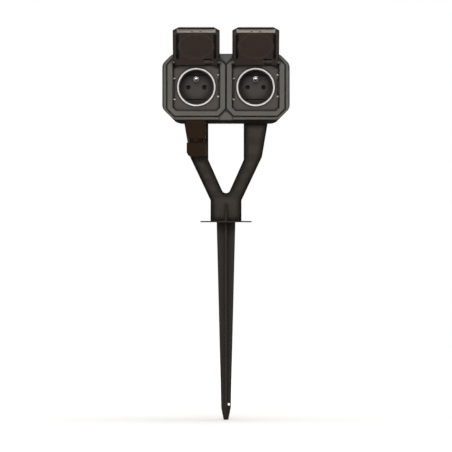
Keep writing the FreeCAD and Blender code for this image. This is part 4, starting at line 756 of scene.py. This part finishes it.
# Studio, in metres, watts and degrees: soft lamps on all sides and a painted floor under the spike's tip
studio = {
    "skyStrength": 0.18, "aim": (0, 0, 0.05),
    "lamps": {
        "keyLight": {"power": 4.6, "size": 1.7, "spread": 70, "place": (-1.1, -2.6, 0.55)},
        "fillLight": {"power": 2.2, "size": 1.6, "spread": 180, "place": (1.9, -1.9, 0.5)},
        "frontLight": {"power": 3.2, "size": 0.9, "spread": 60, "place": (0.1, -2.3, 1.08)},
        "topLight": {"power": 3.5, "size": 1.1, "spread": 60, "place": (0.1, -0.1, 2.3)},
        "backLight": {"power": 11, "size": 1.6, "spread": 90, "place": (0.7, 2.6, 0.2)},
    },
    "floorHeight": -0.2376, "floorHalf": 4.0, "floorColour": "#d9d8d6",
    # The glow that makes it white is weak by the tip, so that the shadow shows there, and full further out
    "glowReach": (0.15, 1.6), "glow": (0.4, 0.95),
}


def addLamp(name, look, aim):
    data = bpy.data.lights.new(name, "AREA")
    data.size = look["size"]
    data.energy = look["power"]
    data.spread = math.radians(look["spread"])
    lamp = bpy.data.objects.new(name, data)
    bpy.context.scene.collection.objects.link(lamp)
    lamp.location = look["place"]
    lamp.rotation_euler = (Vector(aim) - Vector(look["place"])).to_track_quat("-Z", "Y").to_euler()


def seenDirectly(tree):  # 1 for rays from the camera, from glossy and from clear surfaces
    rays = addNode(tree, "ShaderNodeLightPath").outputs
    seen = addNode(tree, "ShaderNodeMath", {0: rays["Is Camera Ray"], 1: rays["Is Glossy Ray"]},
                   operation="MAXIMUM").outputs[0]
    return addNode(tree, "ShaderNodeMath", {0: seen, 1: rays["Is Transmission Ray"]},
                   operation="MAXIMUM").outputs[0]


def lightWorld(look):  # white where it is seen, and a weak light on the object
    world = bpy.data.worlds.new("studio")
    bpy.context.scene.world = world
    world.use_nodes = True
    tree = world.node_tree
    tree.nodes.clear()
    strength = addNode(tree, "ShaderNodeMapRange", {
        "Value": seenDirectly(tree), "To Min": look["skyStrength"], "To Max": 1.0}).outputs["Result"]
    sky = addNode(tree, "ShaderNodeBackground", {"Color": (1, 1, 1, 1), "Strength": strength})
    addNode(tree, "ShaderNodeOutputWorld", {"Surface": sky.outputs[0]})


# Emulsion paint, rolled on a smooth board: matt and pale, with the spike's shadow on it
def paintedFloor(look):
    material, tree = newMaterial("paintedFloor")
    paint = addNode(tree, "ShaderNodeBsdfDiffuse", {"Color": linear(look["floorColour"])}).outputs[0]
    place = addNode(tree, "ShaderNodeTexCoord").outputs["Object"]
    away = addNode(tree, "ShaderNodeVectorMath", {0: place}, operation="LENGTH").outputs["Value"]
    near, far = look["glowReach"]
    weak, full = look["glow"]
    strength = addNode(tree, "ShaderNodeMapRange", {"Value": away, "From Min": near, "From Max": far,
                                                    "To Min": weak, "To Max": full}).outputs["Result"]
    glow = addNode(tree, "ShaderNodeEmission", {"Color": (1, 1, 1, 1), "Strength": strength})
    both = addNode(tree, "ShaderNodeAddShader", {0: paint, 1: glow.outputs[0]})
    mix = addNode(tree, "ShaderNodeMixShader", {0: seenDirectly(tree), 1: paint, 2: both.outputs[0]})
    addNode(tree, "ShaderNodeOutputMaterial", {"Surface": mix.outputs[0]})
    return material


def layFloor(look):
    half = look["floorHalf"]
    mesh = bpy.data.meshes.new("floor")
    mesh.from_pydata([(-half, -half, 0), (half, -half, 0), (half, half, 0), (-half, half, 0)], [],
                     [(0, 1, 2, 3)])
    floor = bpy.data.objects.new("floor", mesh)
    bpy.context.scene.collection.objects.link(floor)
    floor.location.z = look["floorHeight"]
    mesh.materials.append(paintedFloor(look))


lightWorld(studio)
for name, lamp in studio["lamps"].items():
    addLamp(name, lamp, studio["aim"])
layFloor(studio)
bpy.context.scene.view_settings.view_transform = "Standard"
print("studio lit")
